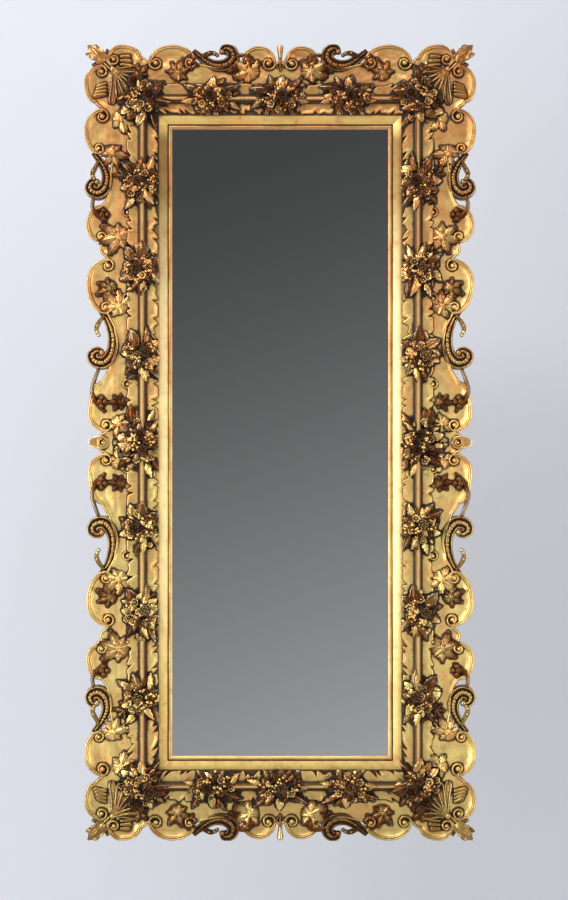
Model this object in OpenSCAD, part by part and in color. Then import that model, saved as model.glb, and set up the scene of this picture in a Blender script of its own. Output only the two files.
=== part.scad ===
// Carved giltwood dressing mirror, to hang on a wall.
// Millimetres, +Z up. The origin is the middle of the wall plane, and the front faces -Y.
// Flat work is drawn from the front: x to the right, y up, and depth is counted from the wall.

/* [Mirror] */
// Width of the mirror that shows
sight_w = 490; // [420:5:640]
// Height of the mirror that shows
sight_h = 1420; // [1280:10:1700]
// Thickness of the mirror plate
plate_t = 4; // [3:0.5:5]
// How far the plate runs behind the slip
plate_lap = 8; // [6:0.5:8]
// Thickness of the felt behind the plate
felt_t = 2; // [1:0.5:3]

/* [Mouldings] */
// Width of the thin slip next to the mirror
slip_w = 9; // [7:0.5:12]
// Thickness of the slip
slip_t = 11; // [8:0.5:14]
// Width of the plain sight band that shows
band_w = 21; // [16:1:28]
// Width of the leaf band under the rod
leaf_band_w = 74; // [66:1:84]
// Thickness of the leaf band
leaf_band_t = 5; // [4:0.5:7]
// Length of one scallop of the leaf band
scallop = 25; // [20:1:32]
// Depth of the notches in the leaf band
notch = 11; // [7:0.5:14]
// Radius of the half-round rod
rod_r = 11; // [9:0.5:13]

/* [Carved border] */
// Width of the flat ground outside the sight band
ground_w = 101; // [92:1:114]
// Thickness of the border boards
board_t = 20; // [16:1:26]
// How far the raised rims stand above the ground
rim_h = 8; // [5:0.5:11]
// Width of a raised rim
rim_w = 5; // [4:0.5:6]
// Radius of the eye of a volute
eye_r = 4.2; // [3.5:0.1:5]
// Width of a pierced C-scroll at its back
c_scroll_w = 17; // [13:0.5:20]
// Width of a tendril
tendril_w = 5.5; // [4:0.5:7]
// Height of the vine leaves above the ground
leaf_h = 4; // [3:0.5:6]

/* [Flowers] */
// Height of a cluster's carved core above the leaf band
core_h = 17; // [15:0.5:22]
// Radius of a rose
rose_r = 15; // [12:0.5:17]
// Radius of a berry
berry_r = 5.5; // [4:0.5:7]
// Length of a hanging leaf
spray_leaf = 40; // [30:1:46]
// Radius of the fan of a corner shell
shell_r = 60; // [50:1:66]

/* [Back frame] */
// Thickness of the back frame
frame_t = 28; // [24:1:36]
// Outer width of the back frame, counted from the sight edge
frame_reach = 112; // [104:1:122]
// Width of the ledge that the backboards bear on
ledge_w = 12; // [10:0.5:14]
// Thickness of the ledge
ledge_t = 6; // [6:0.5:8]
// Thickness of the backboards
backboard_t = 12; // [9:0.5:14]
// Gap between neighbouring backboards and round them
board_gap = 0.6; // [0.4:0.1:1.5]
// Radius of a lap peg
peg_r = 5; // [4:0.5:6]

/* [Hanging] */
// Gap between the back frame and the wall, which the pads fill
wall_gap = 8; // [8:0.5:12]
// Radius of a wall pad
pad_r = 15; // [10:1:20]
// Height of the ring hinges above the middle
hanger_z = 520; // [440:10:600]
// Width of a hanger strap
strap_w = 18; // [14:1:20]
// Length of a strap below its hinge
strap_l = 56; // [50:1:70]
// Thickness of a strap
strap_t = 1.5; // [1.2:0.1:1.5]
// Radius of the ring's wire
ring_wire_r = 1.5; // [1.3:0.1:1.5]
// Radius of the ring's round end
ring_r = 13; // [12.5:0.5:16]
// Radius of a screw's shank
screw_r = 2; // [1.5:0.1:2.3]

/* [Hidden] */
$fn = 48;
fit = 0.05;        // running gap of a dowel, nail or screw in its hole
hair = 0.3;        // gap between carvings that pass over one another
drawn_w = 490;     // sight size on which the border's pattern was drawn
drawn_h = 1420;
fixed_run = 70;    // stretch of the pattern next to a corner that never stretches
half_w = sight_w / 2;
half_h = sight_h / 2;

// Distances outward from the sight edge
plate_gap = 4;
ledge_in = plate_lap + plate_gap;
ledge_out = ledge_in + ledge_w;
band_out = slip_w + band_w;
leaf_in = band_out - 1;
leaf_out = leaf_in + leaf_band_w;
rod_d = (leaf_in + leaf_out) / 2;
board_in = leaf_in + notch + 12;
strip_d = band_out + ground_w;

// Depths from the wall
back_t = wall_gap;
face_t = back_t + frame_t;
ground_t = face_t + board_t;
band_top = ground_t + leaf_band_t;
rod_top = band_top + rod_r;
rim_top = ground_t + rim_h;
ledge_back = face_t - ledge_t;
boards_back = ledge_back - backboard_t;

// Clusters stand at even steps between the corners of the rods
side_bays = 4;
head_bays = 2;
side_pitch = (half_h + rod_d) / side_bays;
head_pitch = (half_w + rod_d) / head_bays;

hinge_x = half_w + 62;
ring_play = 0.08;   // gap between a ring's bar and the strap rolled round it
hinge_gap = 0.52;   // gap between the rolled strap and the back frame
loop_r = ring_wire_r + ring_play + strap_t;
hinge_t = back_t - loop_r - hinge_gap;
screw_drops = [31, 48];
pad_side_gap = 7;   // from a pad to the back frame's outer edges
pad_end_gap = 17;
pad_x = half_w + frame_reach - pad_r - pad_side_gap;
pad_z = half_h + frame_reach - pad_r - pad_end_gap;

gold = "goldenrod";
bright_gold = "gold";
dark_gold = "darkgoldenrod";
pine = "burlywood";

// Placing

module stand() rotate([90, 0, 0]) children();
module slab(from, to) translate([0, 0, from]) linear_extrude(to - from) children();

// A side is drawn along x with "out" as y, then turned to the right-hand side
module to_side() mirror([1, -1, 0]) children();
module side_origin() translate([half_w + strip_d, 0, 0]) to_side() children();
module head_origin() translate([0, half_h + strip_d, 0]) children();

// Where a place on the drawn pattern falls on this frame: stretched in the middle, fixed at the corner
function along(s, half, drawn) =
  s > drawn - fixed_run ? s - drawn + half : s * (half - fixed_run) / (drawn - fixed_run);
function side_at(p) = [along(p[0], half_h, side_corner), p[1]];
function head_at(p) = [along(p[0], half_w, head_corner), p[1]];
// An outline drawn to the middle of the rail, which its last point is on, and its mirror image
function both(points) = concat(points, [for (i = [len(points) - 2:-1:0]) [-points[i][0], points[i][1]]]);

// Curves

function turned(points) = [for (i = [len(points) - 1:-1:0]) points[i]];
function on_circle(c, r, a) = c + r * [cos(a), sin(a)];

// Two quarter ellipses from a, over the crown at e, to b
function lobe_arc(a, e, b, n = 7) = concat(
  [for (i = [0:n]) [e[0] - (e[0] - a[0]) * cos(90 * i / n), a[1] + (e[1] - a[1]) * sin(90 * i / n)]],
  [for (i = [1:n]) [e[0] + (b[0] - e[0]) * sin(90 * i / n), b[1] + (e[1] - b[1]) * cos(90 * i / n)]]
);

// Spiral that starts at angle a0 and winds in
function volute(c, r, a0, way, n = 14) =
  [for (i = [1:n]) on_circle(c, r * (1 - 0.68 * i / n), a0 + way * 430 * i / n)];

// Smooth curve through a few points
function blend(a, b, c, d, t) =
  0.5 * (2 * b + (c - a) * t + (2 * a - 5 * b + 4 * c - d) * t * t + (3 * b - a - 3 * c + d) * t * t * t);
function smooth(p, n = 3) = concat(
  [for (i = [0:len(p) - 2], k = [0:n - 1])
    blend(p[max(i - 1, 0)], p[i], p[i + 1], p[min(i + 2, len(p) - 1)], k / n)],
  [p[len(p) - 1]]
);

function unit(v) = v / norm(v);
function heading(p, i) = unit(p[min(i + 1, len(p) - 1)] - p[max(i - 1, 0)]);
function left_of(v) = [-v[1], v[0]];

// Band of changing width along a path: w is its width at the start, at the middle and at the end
function width_at(w, f) = f < 0.5 ? w[0] + (w[1] - w[0]) * sin(180 * f) : w[2] + (w[1] - w[2]) * sin(180 * f);
function edge(p, w, side) =
  [for (i = [0:len(p) - 1]) p[i] + side * width_at(w, i / (len(p) - 1)) / 2 * left_of(heading(p, i))];
module ribbon(p, w) polygon(concat(edge(p, w, 1), turned(edge(p, w, -1))));

// Leaf with a number of round points, spread over an angle
function leaf_edge(r, points, a) = r * (0.62 + 0.38 * pow(abs(cos(points * a / 2)), 0.8));
module vine_leaf(r, points = 5)
  polygon([for (i = [0:29]) leaf_edge(r, points, 12 * i) * [cos(12 * i), sin(12 * i)]]);
module fan(r, points, spread)
  polygon(concat([[0, 0]], [for (i = [0:6 * points]) let (f = i / (6 * points))
    r * (0.8 + 0.2 * abs(sin(180 * points * f))) * [cos(spread * (f - 0.5)), sin(spread * (f - 0.5))]]));

// Border pattern, as [lower end, its volute's radius, crown, upper end, its volute's radius].
// Each place is [along the rail from its middle, out from the ground's edge]; radius 0 is a plain end.

side_corner = drawn_h / 2;
head_corner = drawn_w / 2;
side_lobes = [
  [[40, 17.6], 13, [65, 56], [137, 31], 0],
  [[306, 18], 14, [361, 60], [400, 13], 13.6],
  [[465.5, 27.8], 12, [490, 60.5], [535, 30], 0],
  [[665, 34], 11.5, [705, 64.5], [737, 26], 15],
  [[side_corner + 59, 43], 0, [side_corner + 102, 64.5], [side_corner + 128, 27.8], 13]
];
head_lobes = [
  [[24.6, 16], 13, [47, 53], [84, 25], 0],
  [[204.5, 17.5], 13, [244, 56], [281, 16.6], 15],
  [[head_corner + 70, 31], 0, [head_corner + 114, 56.5], [head_corner + 131, 25], 13]
];
// Places where the ground reaches out between two lobes
side_necks = [[0, 42], [432, 36], [side_corner + 54, 43]];
head_necks = [[0, 30], [head_corner + 62, 32]];
// Pierced C-scrolls, from the thin tail round the back to the curl
side_c_scrolls = [
  [[298, 31], [276, 14], [240, 2], [205, 4], [182, 20], [183, 41], [197, 49], [207, 38], [203, 27]],
  [[655, 47], [630, 27], [602, 15], [576, 20], [564, 36], [572, 53], [587, 50], [589, 38]]
];
head_c_scrolls = [
  [[196, 46], [175, 27], [150, 12], [124, 12], [107, 26], [110, 44], [124, 50], [131, 42]]
];
// Tendrils that close the openings, each with a bud near its lower end
side_tendrils = [
  [[172, 32], [140, 44], [115, 49], [92, 40], [70, 20]],
  [[560, 44], [532, 48], [515, 35], [500, 16]]
];
head_tendrils = [
  [[106, 28], [88, 34], [70, 30], [60, 14]]
];
bud_r = 8.5;
// Vine leaves: place, radius and turn
side_leaves = [
  [[84, -9], 18, 20], [[326, -5], 33, 70], [[463, -3], 28, 100], [[661, 8], 17, 60], [[731, -8], 25, 85]
];
head_leaves = [[[68, -7], 25, 20], [[232, -6], 23, 110]];

function start_of(lobe) = lobe[0] - [lobe[1], 0];
function end_of(lobe) = lobe[3] + [lobe[4], 0];
function arc_of(lobe) = lobe_arc(start_of(lobe), lobe[2], end_of(lobe));
function placed_side(lobe) = [side_at(lobe[0]), lobe[1], side_at(lobe[2]), side_at(lobe[3]), lobe[4]];
function placed_head(lobe) = [head_at(lobe[0]), lobe[1], head_at(lobe[2]), head_at(lobe[3]), lobe[4]];
function rim_of(lobe) = concat(
  lobe[1] > 0 ? turned(volute(lobe[0], lobe[1], 180, 1)) : [],
  arc_of(lobe),
  lobe[4] > 0 ? volute(lobe[3], lobe[4], 0, -1) : []
);

// Outline of half a border board: mitre at the corner, then every lobe down to the middle
function square_tip(half) = [
  [half + board_in, board_in - strip_d],
  [half + strip_d + 52, 52],
  [half + strip_d + 46, 59]
];

module side_board_outline() {
  l = [for (x = side_lobes) placed_side(x)];
  n = [for (x = side_necks) side_at(x)];
  half = concat(
    square_tip(half_h), [[half_h + strip_d + 19, 40]],
    turned(arc_of(l[4])), [n[2]], turned(arc_of(l[3])),
    [side_at([652, 4]), side_at([610, 10]), side_at([578, 12]), side_at([556, 16])],
    turned(arc_of(l[2])), [n[1]], turned(arc_of(l[1])),
    [side_at([284, 14]), side_at([262, 2]), side_at([225, -4]), side_at([195, 4]), side_at([165, 14])],
    turned(arc_of(l[0])), [side_at([20, 34]), n[0]]
  );
  polygon(both(half));
}

module head_board_outline() {
  l = [for (x = head_lobes) placed_head(x)];
  n = [for (x = head_necks) head_at(x)];
  half = concat(
    square_tip(half_w), [[half_w + strip_d + 19, 38]],
    turned(arc_of(l[2])), [n[1]], turned(arc_of(l[1])),
    [head_at([186, 18]), head_at([162, 12]), head_at([137, 8]), head_at([112, 14]), head_at([100, 16])],
    turned(arc_of(l[0])), [head_at([8, 20]), n[0]]
  );
  polygon(both(half));
}

module scroll_rim(lobe) {
  slab(face_t + 4, rim_top) ribbon(rim_of(lobe), [rim_w * 0.8, rim_w, rim_w * 0.8]);
  for (end = [0, 3])
    if (lobe[end + 1] > 0)
      translate([lobe[end][0], lobe[end][1], rim_top - 1]) sphere(eye_r);
}

module c_scroll(path) {
  p = smooth(path);
  slab(face_t + 6, rim_top - 2) ribbon(p, [rim_w, c_scroll_w, rim_w * 1.2]);
  slab(rim_top - 3, rim_top + 2) ribbon(p, [rim_w * 0.4, c_scroll_w * 0.4, rim_w * 0.7]);
  translate([path[len(path) - 1][0], path[len(path) - 1][1], rim_top - 5]) sphere(eye_r * 1.5);
}

module tendril(path) {
  p = smooth(path);
  slab(ground_t - 6, rim_top - 1) ribbon(p, [tendril_w, tendril_w, tendril_w * 0.6]);
  translate([path[len(path) - 2][0], path[len(path) - 2][1] - 6, ground_t]) sphere(bud_r);
}

module ground_leaf(place, r, turn)
  intersection() {
    translate([place[0], place[1], 0]) rotate(turn) {
      slab(ground_t - 2, ground_t + leaf_h) vine_leaf(r);
    }
    translate([place[0] - 2 * r, leaf_out - strip_d + hair, 0]) cube([4 * r, 4 * r, 2 * ground_t]);
  }

// Middle of a side: a leaf fan that points outward. Middle of the head: a slim finial
module palmette() {
  slab(ground_t - 4, ground_t + 5) translate([0, 16]) rotate(90) fan(44, 5, 72);
  translate([0, 20, ground_t + 2]) sphere(9);
}
module finial() {
  slab(ground_t - 6, ground_t + 5)
    polygon([[-3, 18], [3, 18], [5, 40], [2.5, 52], [0, 58], [-2.5, 52], [-5, 40]]);
  translate([0, 22, ground_t + 1]) sphere(7);
}

module both_ways() for (way = [0, 1]) mirror([way, 0, 0]) children();

module border_side()
  color(gold) stand() side_origin() union() {
    slab(face_t, ground_t) side_board_outline();
    both_ways() {
      for (l = side_lobes) scroll_rim(placed_side(l));
      for (c = side_c_scrolls) c_scroll([for (p = c) side_at(p)]);
      for (c = side_tendrils) tendril([for (p = c) side_at(p)]);
      for (v = side_leaves) ground_leaf(side_at(v[0]), v[1], v[2]);
    }
    palmette();
  }

module border_head()
  color(gold) stand() head_origin() union() {
    slab(face_t, ground_t) head_board_outline();
    both_ways() {
      for (l = head_lobes) scroll_rim(placed_head(l));
      for (c = head_c_scrolls) c_scroll([for (p = c) head_at(p)]);
      for (c = head_tendrils) tendril([for (p = c) head_at(p)]);
      for (v = head_leaves) ground_leaf(head_at(v[0]), v[1], v[2]);
    }
    finial();
  }

module border_left() mirror([1, 0, 0]) border_side();
module border_right() border_side();
module border_top() border_head();
module border_bottom() mirror([0, 0, 1]) border_head();

// Corner shell, drawn at the top right: a fan of ribs towards the mirror, a stem between the two volutes
// and a leaf tuft at the outer corner. It stops at the leaf band.
shell_ribs = 7;
shell_spread = 88;
shell_at = 3;
rib_w = 10;
rib_start = 14;
knob_r = 6;

// Outline of two circles of different size and their common tangents
function drop(l, r0, r1) = let (a = acos((r0 - r1) / l)) concat(
  [for (i = [0:2]) on_circle([0, 0], r0, a + (360 - 2 * a) * i / 2)],
  [for (i = [0:4]) on_circle([l, 0], r1, -a + 2 * a * i / 4)]
);

module shell_fan() {
  slab(ground_t, ground_t + 3) translate([1, 1]) rotate(225) fan(shell_r * 0.86, shell_ribs, shell_spread);
  for (i = [0:shell_ribs - 1])
    rotate(225 + shell_spread * ((i + 0.5) / shell_ribs - 0.5)) translate([rib_start, 0])
      slab(ground_t + 2, ground_t + 7) polygon(drop(shell_r - rib_start - rib_w / 3, 1.2, rib_w / 3));
}

module leaf_tuft() {
  slab(ground_t, ground_t + 6) fan(36, 5, 86);
  for (a = [-30, 0, 30])
    rotate(a) translate([8, 0]) slab(ground_t + 5, ground_t + 9) polygon(drop(20, 1.5, 3.4));
}

module corner_shell()
  color(bright_gold) stand() difference() {
    translate([half_w + strip_d + shell_at, half_h + strip_d + shell_at, 0]) {
      shell_fan();
      slab(ground_t, ground_t + 6) rotate(45) translate([-4, -2.2]) square([34, 4.4]);
      translate([0, 0, ground_t + knob_r]) sphere(knob_r);
      translate([18, 18]) rotate(45) leaf_tuft();
    }
    cube([half_w + leaf_out + hair, half_h + leaf_out + hair, 2 * ground_t]);
  }

module corner_shell_tl() mirror([1, 0, 0]) corner_shell();
module corner_shell_tr() corner_shell();
module corner_shell_bl() mirror([1, 0, 0]) mirror([0, 0, 1]) corner_shell();
module corner_shell_br() mirror([0, 0, 1]) corner_shell();

// Mouldings: straight runs mitred to one another at the corners

module mitre(half_across, half_along, from, to)
  slab(from, to) polygon([
    [half_across - 1, half_along - 1], [half_across + frame_reach, half_along + frame_reach],
    [half_across + frame_reach, -half_along - frame_reach], [half_across - 1, -half_along + 1]
  ]);

module mitred(half_across, half_along, from = 0, to = 200)
  intersection() {
    children();
    mitre(half_across, half_along, from, to);
  }

module run(half_across, half_along, profile)
  translate([half_across, 0, 0]) rotate([90, 0, 0])
    linear_extrude(2 * (half_along + strip_d), center = true) polygon(profile);

scallop_shape = [[0, 0], [0.2, 0.75], [0.55, 1], [0.85, 0.7]];
function scallops(d, way, half, count) = [for (i = [0:count - 1], s = scallop_shape)
  [d - way * notch * (1 - s[1]), half * (1 - 2 * (i + s[0]) / count)]];

module leaf_band(half_across, half_along) {
  inner = half_along + leaf_in;
  outer = half_along + leaf_out;
  mitred(half_across, half_along)
    slab(ground_t, band_top) translate([half_across, 0])
      polygon(concat(
        scallops(leaf_out, 1, outer, round(2 * outer / scallop)), [[leaf_out - notch, -outer]],
        [[leaf_in + notch, -inner]], turned(scallops(leaf_in, -1, inner, round(2 * inner / scallop)))
      ));
}

module rod(half_across, half_along)
  mitred(half_across, half_along, band_top, rod_top + 1)
    translate([half_across + rod_d, 0, band_top]) rotate([90, 0, 0])
      cylinder(h = 2 * (half_along + strip_d), r = rod_r, center = true);

// Plain band that falls towards the slip in a shallow cove
cove_drop = 8;
module sight_moulding(half_across, half_along)
  mitred(half_across, half_along)
    run(half_across, half_along, concat(
      [[slip_w, face_t], [board_in, face_t], [board_in, ground_t]],
      [for (i = [0:8]) [band_out - band_w * i / 8, ground_t - cove_drop * (1 - cos(90 * i / 8))]]
    ));

module sight_slip(half_across, half_along)
  mitred(half_across, half_along)
    run(half_across, half_along, concat(
      [[0, face_t], [slip_w, face_t]],
      [for (i = [0:6]) [slip_w / 2 * (1 + cos(30 * i)), face_t + slip_t * (0.7 + 0.3 * sin(30 * i))]]
    ));

module right_run() stand() children();
module top_run() stand() mirror([1, -1, 0]) children();

module leaf_band_right() color(gold) right_run() leaf_band(half_w, half_h);
module leaf_band_left() mirror([1, 0, 0]) leaf_band_right();
module leaf_band_top() color(gold) top_run() leaf_band(half_h, half_w);
module leaf_band_bottom() mirror([0, 0, 1]) leaf_band_top();
module rod_right() color(bright_gold) right_run() rod(half_w, half_h);
module rod_left() mirror([1, 0, 0]) rod_right();
module rod_head() color(bright_gold) top_run() rod(half_h, half_w);
module rod_foot() mirror([0, 0, 1]) rod_head();
module sight_moulding_right() color(bright_gold) right_run() sight_moulding(half_w, half_h);
module sight_moulding_left() mirror([1, 0, 0]) sight_moulding_right();
module sight_moulding_top() color(bright_gold) top_run() sight_moulding(half_h, half_w);
module sight_moulding_bottom() mirror([0, 0, 1]) sight_moulding_top();
module sight_slip_right() color("peru") right_run() sight_slip(half_w, half_h);
module sight_slip_left() mirror([1, 0, 0]) sight_slip_right();
module sight_slip_top() color("peru") top_run() sight_slip(half_h, half_w);
module sight_slip_bottom() mirror([0, 0, 1]) sight_slip_top();

// Flower clusters. Each is one carving: a core that bridges the rod, a rose, small flowers, berries and
// pointed leaves. x is out from the mirror and y is up, both from the middle of the rod.

function petal_edge(r, petals, a) = r * (0.8 + 0.2 * abs(cos(petals * a / 2)));

module petals(r)
  polygon([for (i = [0:19]) petal_edge(r, 5, 18 * i) * [cos(18 * i), sin(18 * i)]]);

module rose(r) {
  for (layer = [0:3])
    rotate(layer * 34) slab((0.22 * layer - 0.5) * r, (0.2 * layer + 0.2) * r) petals(r * (1 - 0.2 * layer));
  translate([0, 0, 0.74 * r]) sphere(0.22 * r);
}

module small_flower(r) {
  slab(-0.4 * r, 0.3 * r) petals(r);
  rotate(36) slab(-0.3 * r, 0.5 * r) petals(0.66 * r);
  translate([0, 0, r * 0.5]) sphere(r * 0.3);
}

// Pointed leaf that starts at the origin, runs along x and bends down towards its tip
leaf_stations = [[0, 0.5, 0], [0.25, 1, 0.02], [0.55, 0.85, -0.05], [0.82, 0.4, -0.17]];
module pointed_leaf(l, w, t) {
  n = len(leaf_stations);
  body = [for (s = leaf_stations) let (x = l * s[0], h = w / 2 * s[1], z = l * s[2])
    each [[x, h, z], [x, 0, z + t], [x, -h, z], [x, 0, z - t]]];
  polyhedron(
    concat(body, [[l, 0, -l * 0.26]]),
    concat(
      [[0, 1, 2, 3]],
      [for (k = [0:n - 2], j = [0:3]) let (a = 4 * k + j, b = 4 * k + (j + 1) % 4)
        each [[a, b + 4, b], [a, a + 4, b + 4]]],
      [for (j = [0:3]) [4 * (n - 1) + (j + 1) % 4, 4 * (n - 1) + j, 4 * n]]
    )
  );
}

module core(rx, ry)
  slab(0, core_h) polygon([for (i = [0:23]) let (f = 0.9 + 0.1 * cos(90 * i))
    [rx * f * cos(15 * i), ry * f * sin(15 * i)]]);

// The channel keeps a cluster clear of the rod it straddles, and the corner channel of the two at a mitre.
// That is drawn for the head, where one rod runs to the left and the other down.
module channel(along_y)
  rotate(along_y ? 0 : 90) rotate([90, 0, 0]) cylinder(h = 400, r = rod_r + hair, center = true);

module corner_channel() {
  gap = rod_r + hair;
  slab(-1, gap) polygon([[gap, gap], [-200, gap], [-200, -gap], [-gap, -gap], [-gap, -200], [gap, -200]]);
}

module berries(places)
  for (p = places) translate([p[0], p[1], core_h + p[2]]) sphere(berry_r);

module leaf_spray(base, angles)
  for (a = angles)
    translate([base[0], base[1], core_h * 0.62]) rotate(a) pointed_leaf(spray_leaf, spray_leaf * 0.46, 3);

module above_band() intersection() {
  children();
  translate([-150, -150, 0]) cube([300, 300, 100]);
}

module plain_cluster(along_y = true)
  above_band() difference() {
    union() {
      core(36, 36);
      translate([9, 4, core_h + 4]) rose(rose_r);
      translate([27, 20, core_h]) rotate([0, 8, 0]) small_flower(11);
      translate([28, -8, core_h]) rotate([0, 10, 40]) small_flower(11);
      berries([[-10, 20, 1], [-20, 12, 0], [-24, 0, -1], [-13, -2, 3], [-18, -13, 0], [4, 26, 0]]);
      leaf_spray([-8, -22], [-115, -70]);
      leaf_spray([-6, 16], [135]);
      leaf_spray([14, 20], [75]);
    }
    channel(along_y);
  }

module full_cluster(along_y = true)
  above_band() difference() {
    union() {
      core(38, 44);
      translate([4, 2, core_h + 4]) rose(rose_r + 1);
      translate([22, 26, core_h]) small_flower(12);
      translate([24, -18, core_h]) rotate(30) small_flower(12);
      translate([-16, 24, core_h]) rotate(50) small_flower(11);
      berries([
        [-20, 6, 1], [-26, -4, -1], [-17, -9, 2], [-24, -18, -1],
        [-13, -22, 1], [-4, -30, 0], [6, -26, 2], [30, 4, -1]
      ]);
      leaf_spray([-10, -26], [-125, -75]);
      leaf_spray([12, -24], [-40]);
      leaf_spray([-8, 26], [120]);
      leaf_spray([18, 24], [45]);
    }
    channel(along_y);
  }

module corner_cluster(foot = false)
  above_band() difference() {
    union() {
      core(40, 40);
      translate([-8, -4, core_h + 4]) rose(rose_r + 2);
      translate([15, 17, core_h]) rotate(20) small_flower(12);
      translate([30, -6, core_h]) small_flower(11);
      translate([-9, 28, core_h]) rotate(30) small_flower(11);
      berries([[20, -22, 0], [29, -18, -1], [-24, 16, 0], [-28, 6, -1], [12, -12, 3], [0, -28, 0]]);
      leaf_spray([-20, -20], [-160, -105, -132]);
      leaf_spray([foot ? -2 : 8, -26], [foot ? -95 : -80]);
      leaf_spray([-26, 8], [170]);
    }
    mirror([0, foot ? 1 : 0, 0]) corner_channel();
  }

module at_rod(x, y) translate([x, y, band_top]) children();

module side_clusters(steps)
  color(dark_gold) stand()
    for (i = steps) at_rod(half_w + rod_d, i * side_pitch) plain_cluster();

module head_clusters(level)
  color(dark_gold) stand()
    for (way = [0, 1]) mirror([way, 0, 0])
      at_rod(head_pitch, level * (half_h + rod_d)) plain_cluster(false);

module clusters_right_upper() side_clusters([1:side_bays - 1]);
module clusters_right_lower() side_clusters([1 - side_bays:-1]);
module clusters_left_upper() mirror([1, 0, 0]) clusters_right_upper();
module clusters_left_lower() mirror([1, 0, 0]) clusters_right_lower();
module clusters_top() head_clusters(1);
module clusters_bottom() head_clusters(-1);
module centre_cluster_right() color(dark_gold) stand() at_rod(half_w + rod_d, 0) full_cluster();
module centre_cluster_left() mirror([1, 0, 0]) centre_cluster_right();
module centre_cluster_top() color(dark_gold) stand() at_rod(0, half_h + rod_d) full_cluster(false);
module centre_cluster_bottom() color(dark_gold) stand() at_rod(0, -half_h - rod_d) full_cluster(false);
module corner_cluster_tr() color(dark_gold) stand() at_rod(half_w + rod_d, half_h + rod_d) corner_cluster();
module corner_cluster_tl() mirror([1, 0, 0]) corner_cluster_tr();
module corner_cluster_br()
  color(dark_gold) stand() at_rod(half_w + rod_d, -half_h - rod_d) corner_cluster(foot = true);
module corner_cluster_bl() mirror([1, 0, 0]) corner_cluster_br();

// Back frame: stiles and rails are half-lapped at the corners and share one section, with a ledge in front

lap_t = back_t + frame_t / 2;
function peg_places() = [for (a = [0.38, 0.8]) frame_reach * [a, a]];

module frame_member(half_across, half_along) {
  translate([half_across + ledge_out, -half_along, back_t])
    cube([frame_reach - ledge_out, 2 * half_along, frame_t]);
  translate([half_across + ledge_in, -half_along, ledge_back])
    cube([frame_reach - ledge_in, 2 * half_along, ledge_t]);
}

module peg_holes()
  for (p = peg_places(), way = [-1, 1])
    translate([half_w + p[0], way * (half_h + p[1]), back_t - 1]) cylinder(h = frame_t + 2, r = peg_r + fit);

module nail_at(x, y, r, from, to) translate([x, y, from]) cylinder(h = to - from, r = r);

nail_d = (ledge_in + ledge_out) / 2;
nail_r = 1;
nail_tip = face_t - 2;
side_nails = 7;
head_nails = 6;
function side_nail_y() = [for (i = [0:side_nails - 1]) (half_h - 30) * (2 * i / (side_nails - 1) - 1)];
function head_nail_x() =
  [for (i = [0:head_nails - 1]) (half_w + 2 * nail_d) * ((2 * i + 1) / head_nails - 1)];
module side_nail_holes()
  for (y = side_nail_y()) nail_at(half_w + nail_d, y, nail_r + fit, boards_back - 1, nail_tip + fit);
module head_nail_holes()
  for (x = head_nail_x(), way = [-1, 1])
    nail_at(x, way * (half_h + nail_d), nail_r + fit, boards_back - 1, nail_tip + fit);

module stile_right()
  color(pine) stand() difference() {
    frame_member(half_w, half_h + frame_reach);
    for (way = [0, 1]) mirror([0, way, 0]) intersection() {
      mirror([1, -1, 0]) frame_member(half_h, half_w + frame_reach + 1);
      translate([0, half_h, lap_t]) cube([half_w + frame_reach + 1, frame_reach + 1, frame_t]);
    }
    peg_holes();
    side_nail_holes();
    for (d = screw_drops) nail_at(hinge_x, hanger_z - d, screw_r + fit, back_t - 1, screw_tip + fit);
  }
module stile_left() mirror([1, 0, 0]) stile_right();

module back_rail_top()
  color(pine) stand() difference() {
    mirror([1, -1, 0]) frame_member(half_h, half_w + frame_reach);
    for (way = [0, 1]) mirror([way, 0, 0])
      translate([half_w + ledge_out, half_h, 0]) cube([frame_reach, frame_reach + 1, lap_t]);
    both_ways() peg_holes();
    head_nail_holes();
  }
module back_rail_bottom() mirror([0, 0, 1]) back_rail_top();

module lap_pegs()
  color("tan") stand()
    for (p = peg_places(), x = [-1, 1], y = [-1, 1])
      translate([x * (half_w + p[0]), y * (half_h + p[1]), back_t]) cylinder(h = frame_t, r = peg_r);

// Mirror plate and what holds it

module mirror_plate()
  color("lightsteelblue") stand() translate([-half_w - plate_lap, -half_h - plate_lap, face_t - plate_t])
    cube([sight_w + 2 * plate_lap, sight_h + 2 * plate_lap, plate_t]);

module backing_felt()
  color("dimgray") stand() translate([-half_w - plate_lap, -half_h - plate_lap, face_t - plate_t - felt_t])
    cube([sight_w + 2 * plate_lap, sight_h + 2 * plate_lap, felt_t]);

block_l = 40;
module glazing_blocks()
  color("wheat") stand() {
    for (way = [-1, 1], y = [-0.7, 0, 0.7])
      translate([way * (half_w + plate_lap + plate_gap / 2), y * half_h, face_t - plate_t / 2])
        cube([plate_gap, block_l, plate_t], center = true);
    for (way = [-1, 1], x = [-0.6, 0.6])
      translate([x * half_w, way * (half_h + plate_lap + plate_gap / 2), face_t - plate_t / 2])
        cube([block_l, plate_gap, plate_t], center = true);
  }

backboard_w = (sight_w + 2 * ledge_out - 4 * board_gap) / 3;
backboard_l = sight_h + 2 * (ledge_out - board_gap);
module backboard(i)
  color("sienna") stand() difference() {
    translate([i * (backboard_w + board_gap) - half_w - ledge_out + board_gap, -backboard_l / 2, boards_back])
      cube([backboard_w, backboard_l, backboard_t]);
    both_ways() side_nail_holes();
    head_nail_holes();
  }
module backboard_left() backboard(0);
module backboard_centre() backboard(1);
module backboard_right() backboard(2);

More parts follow.
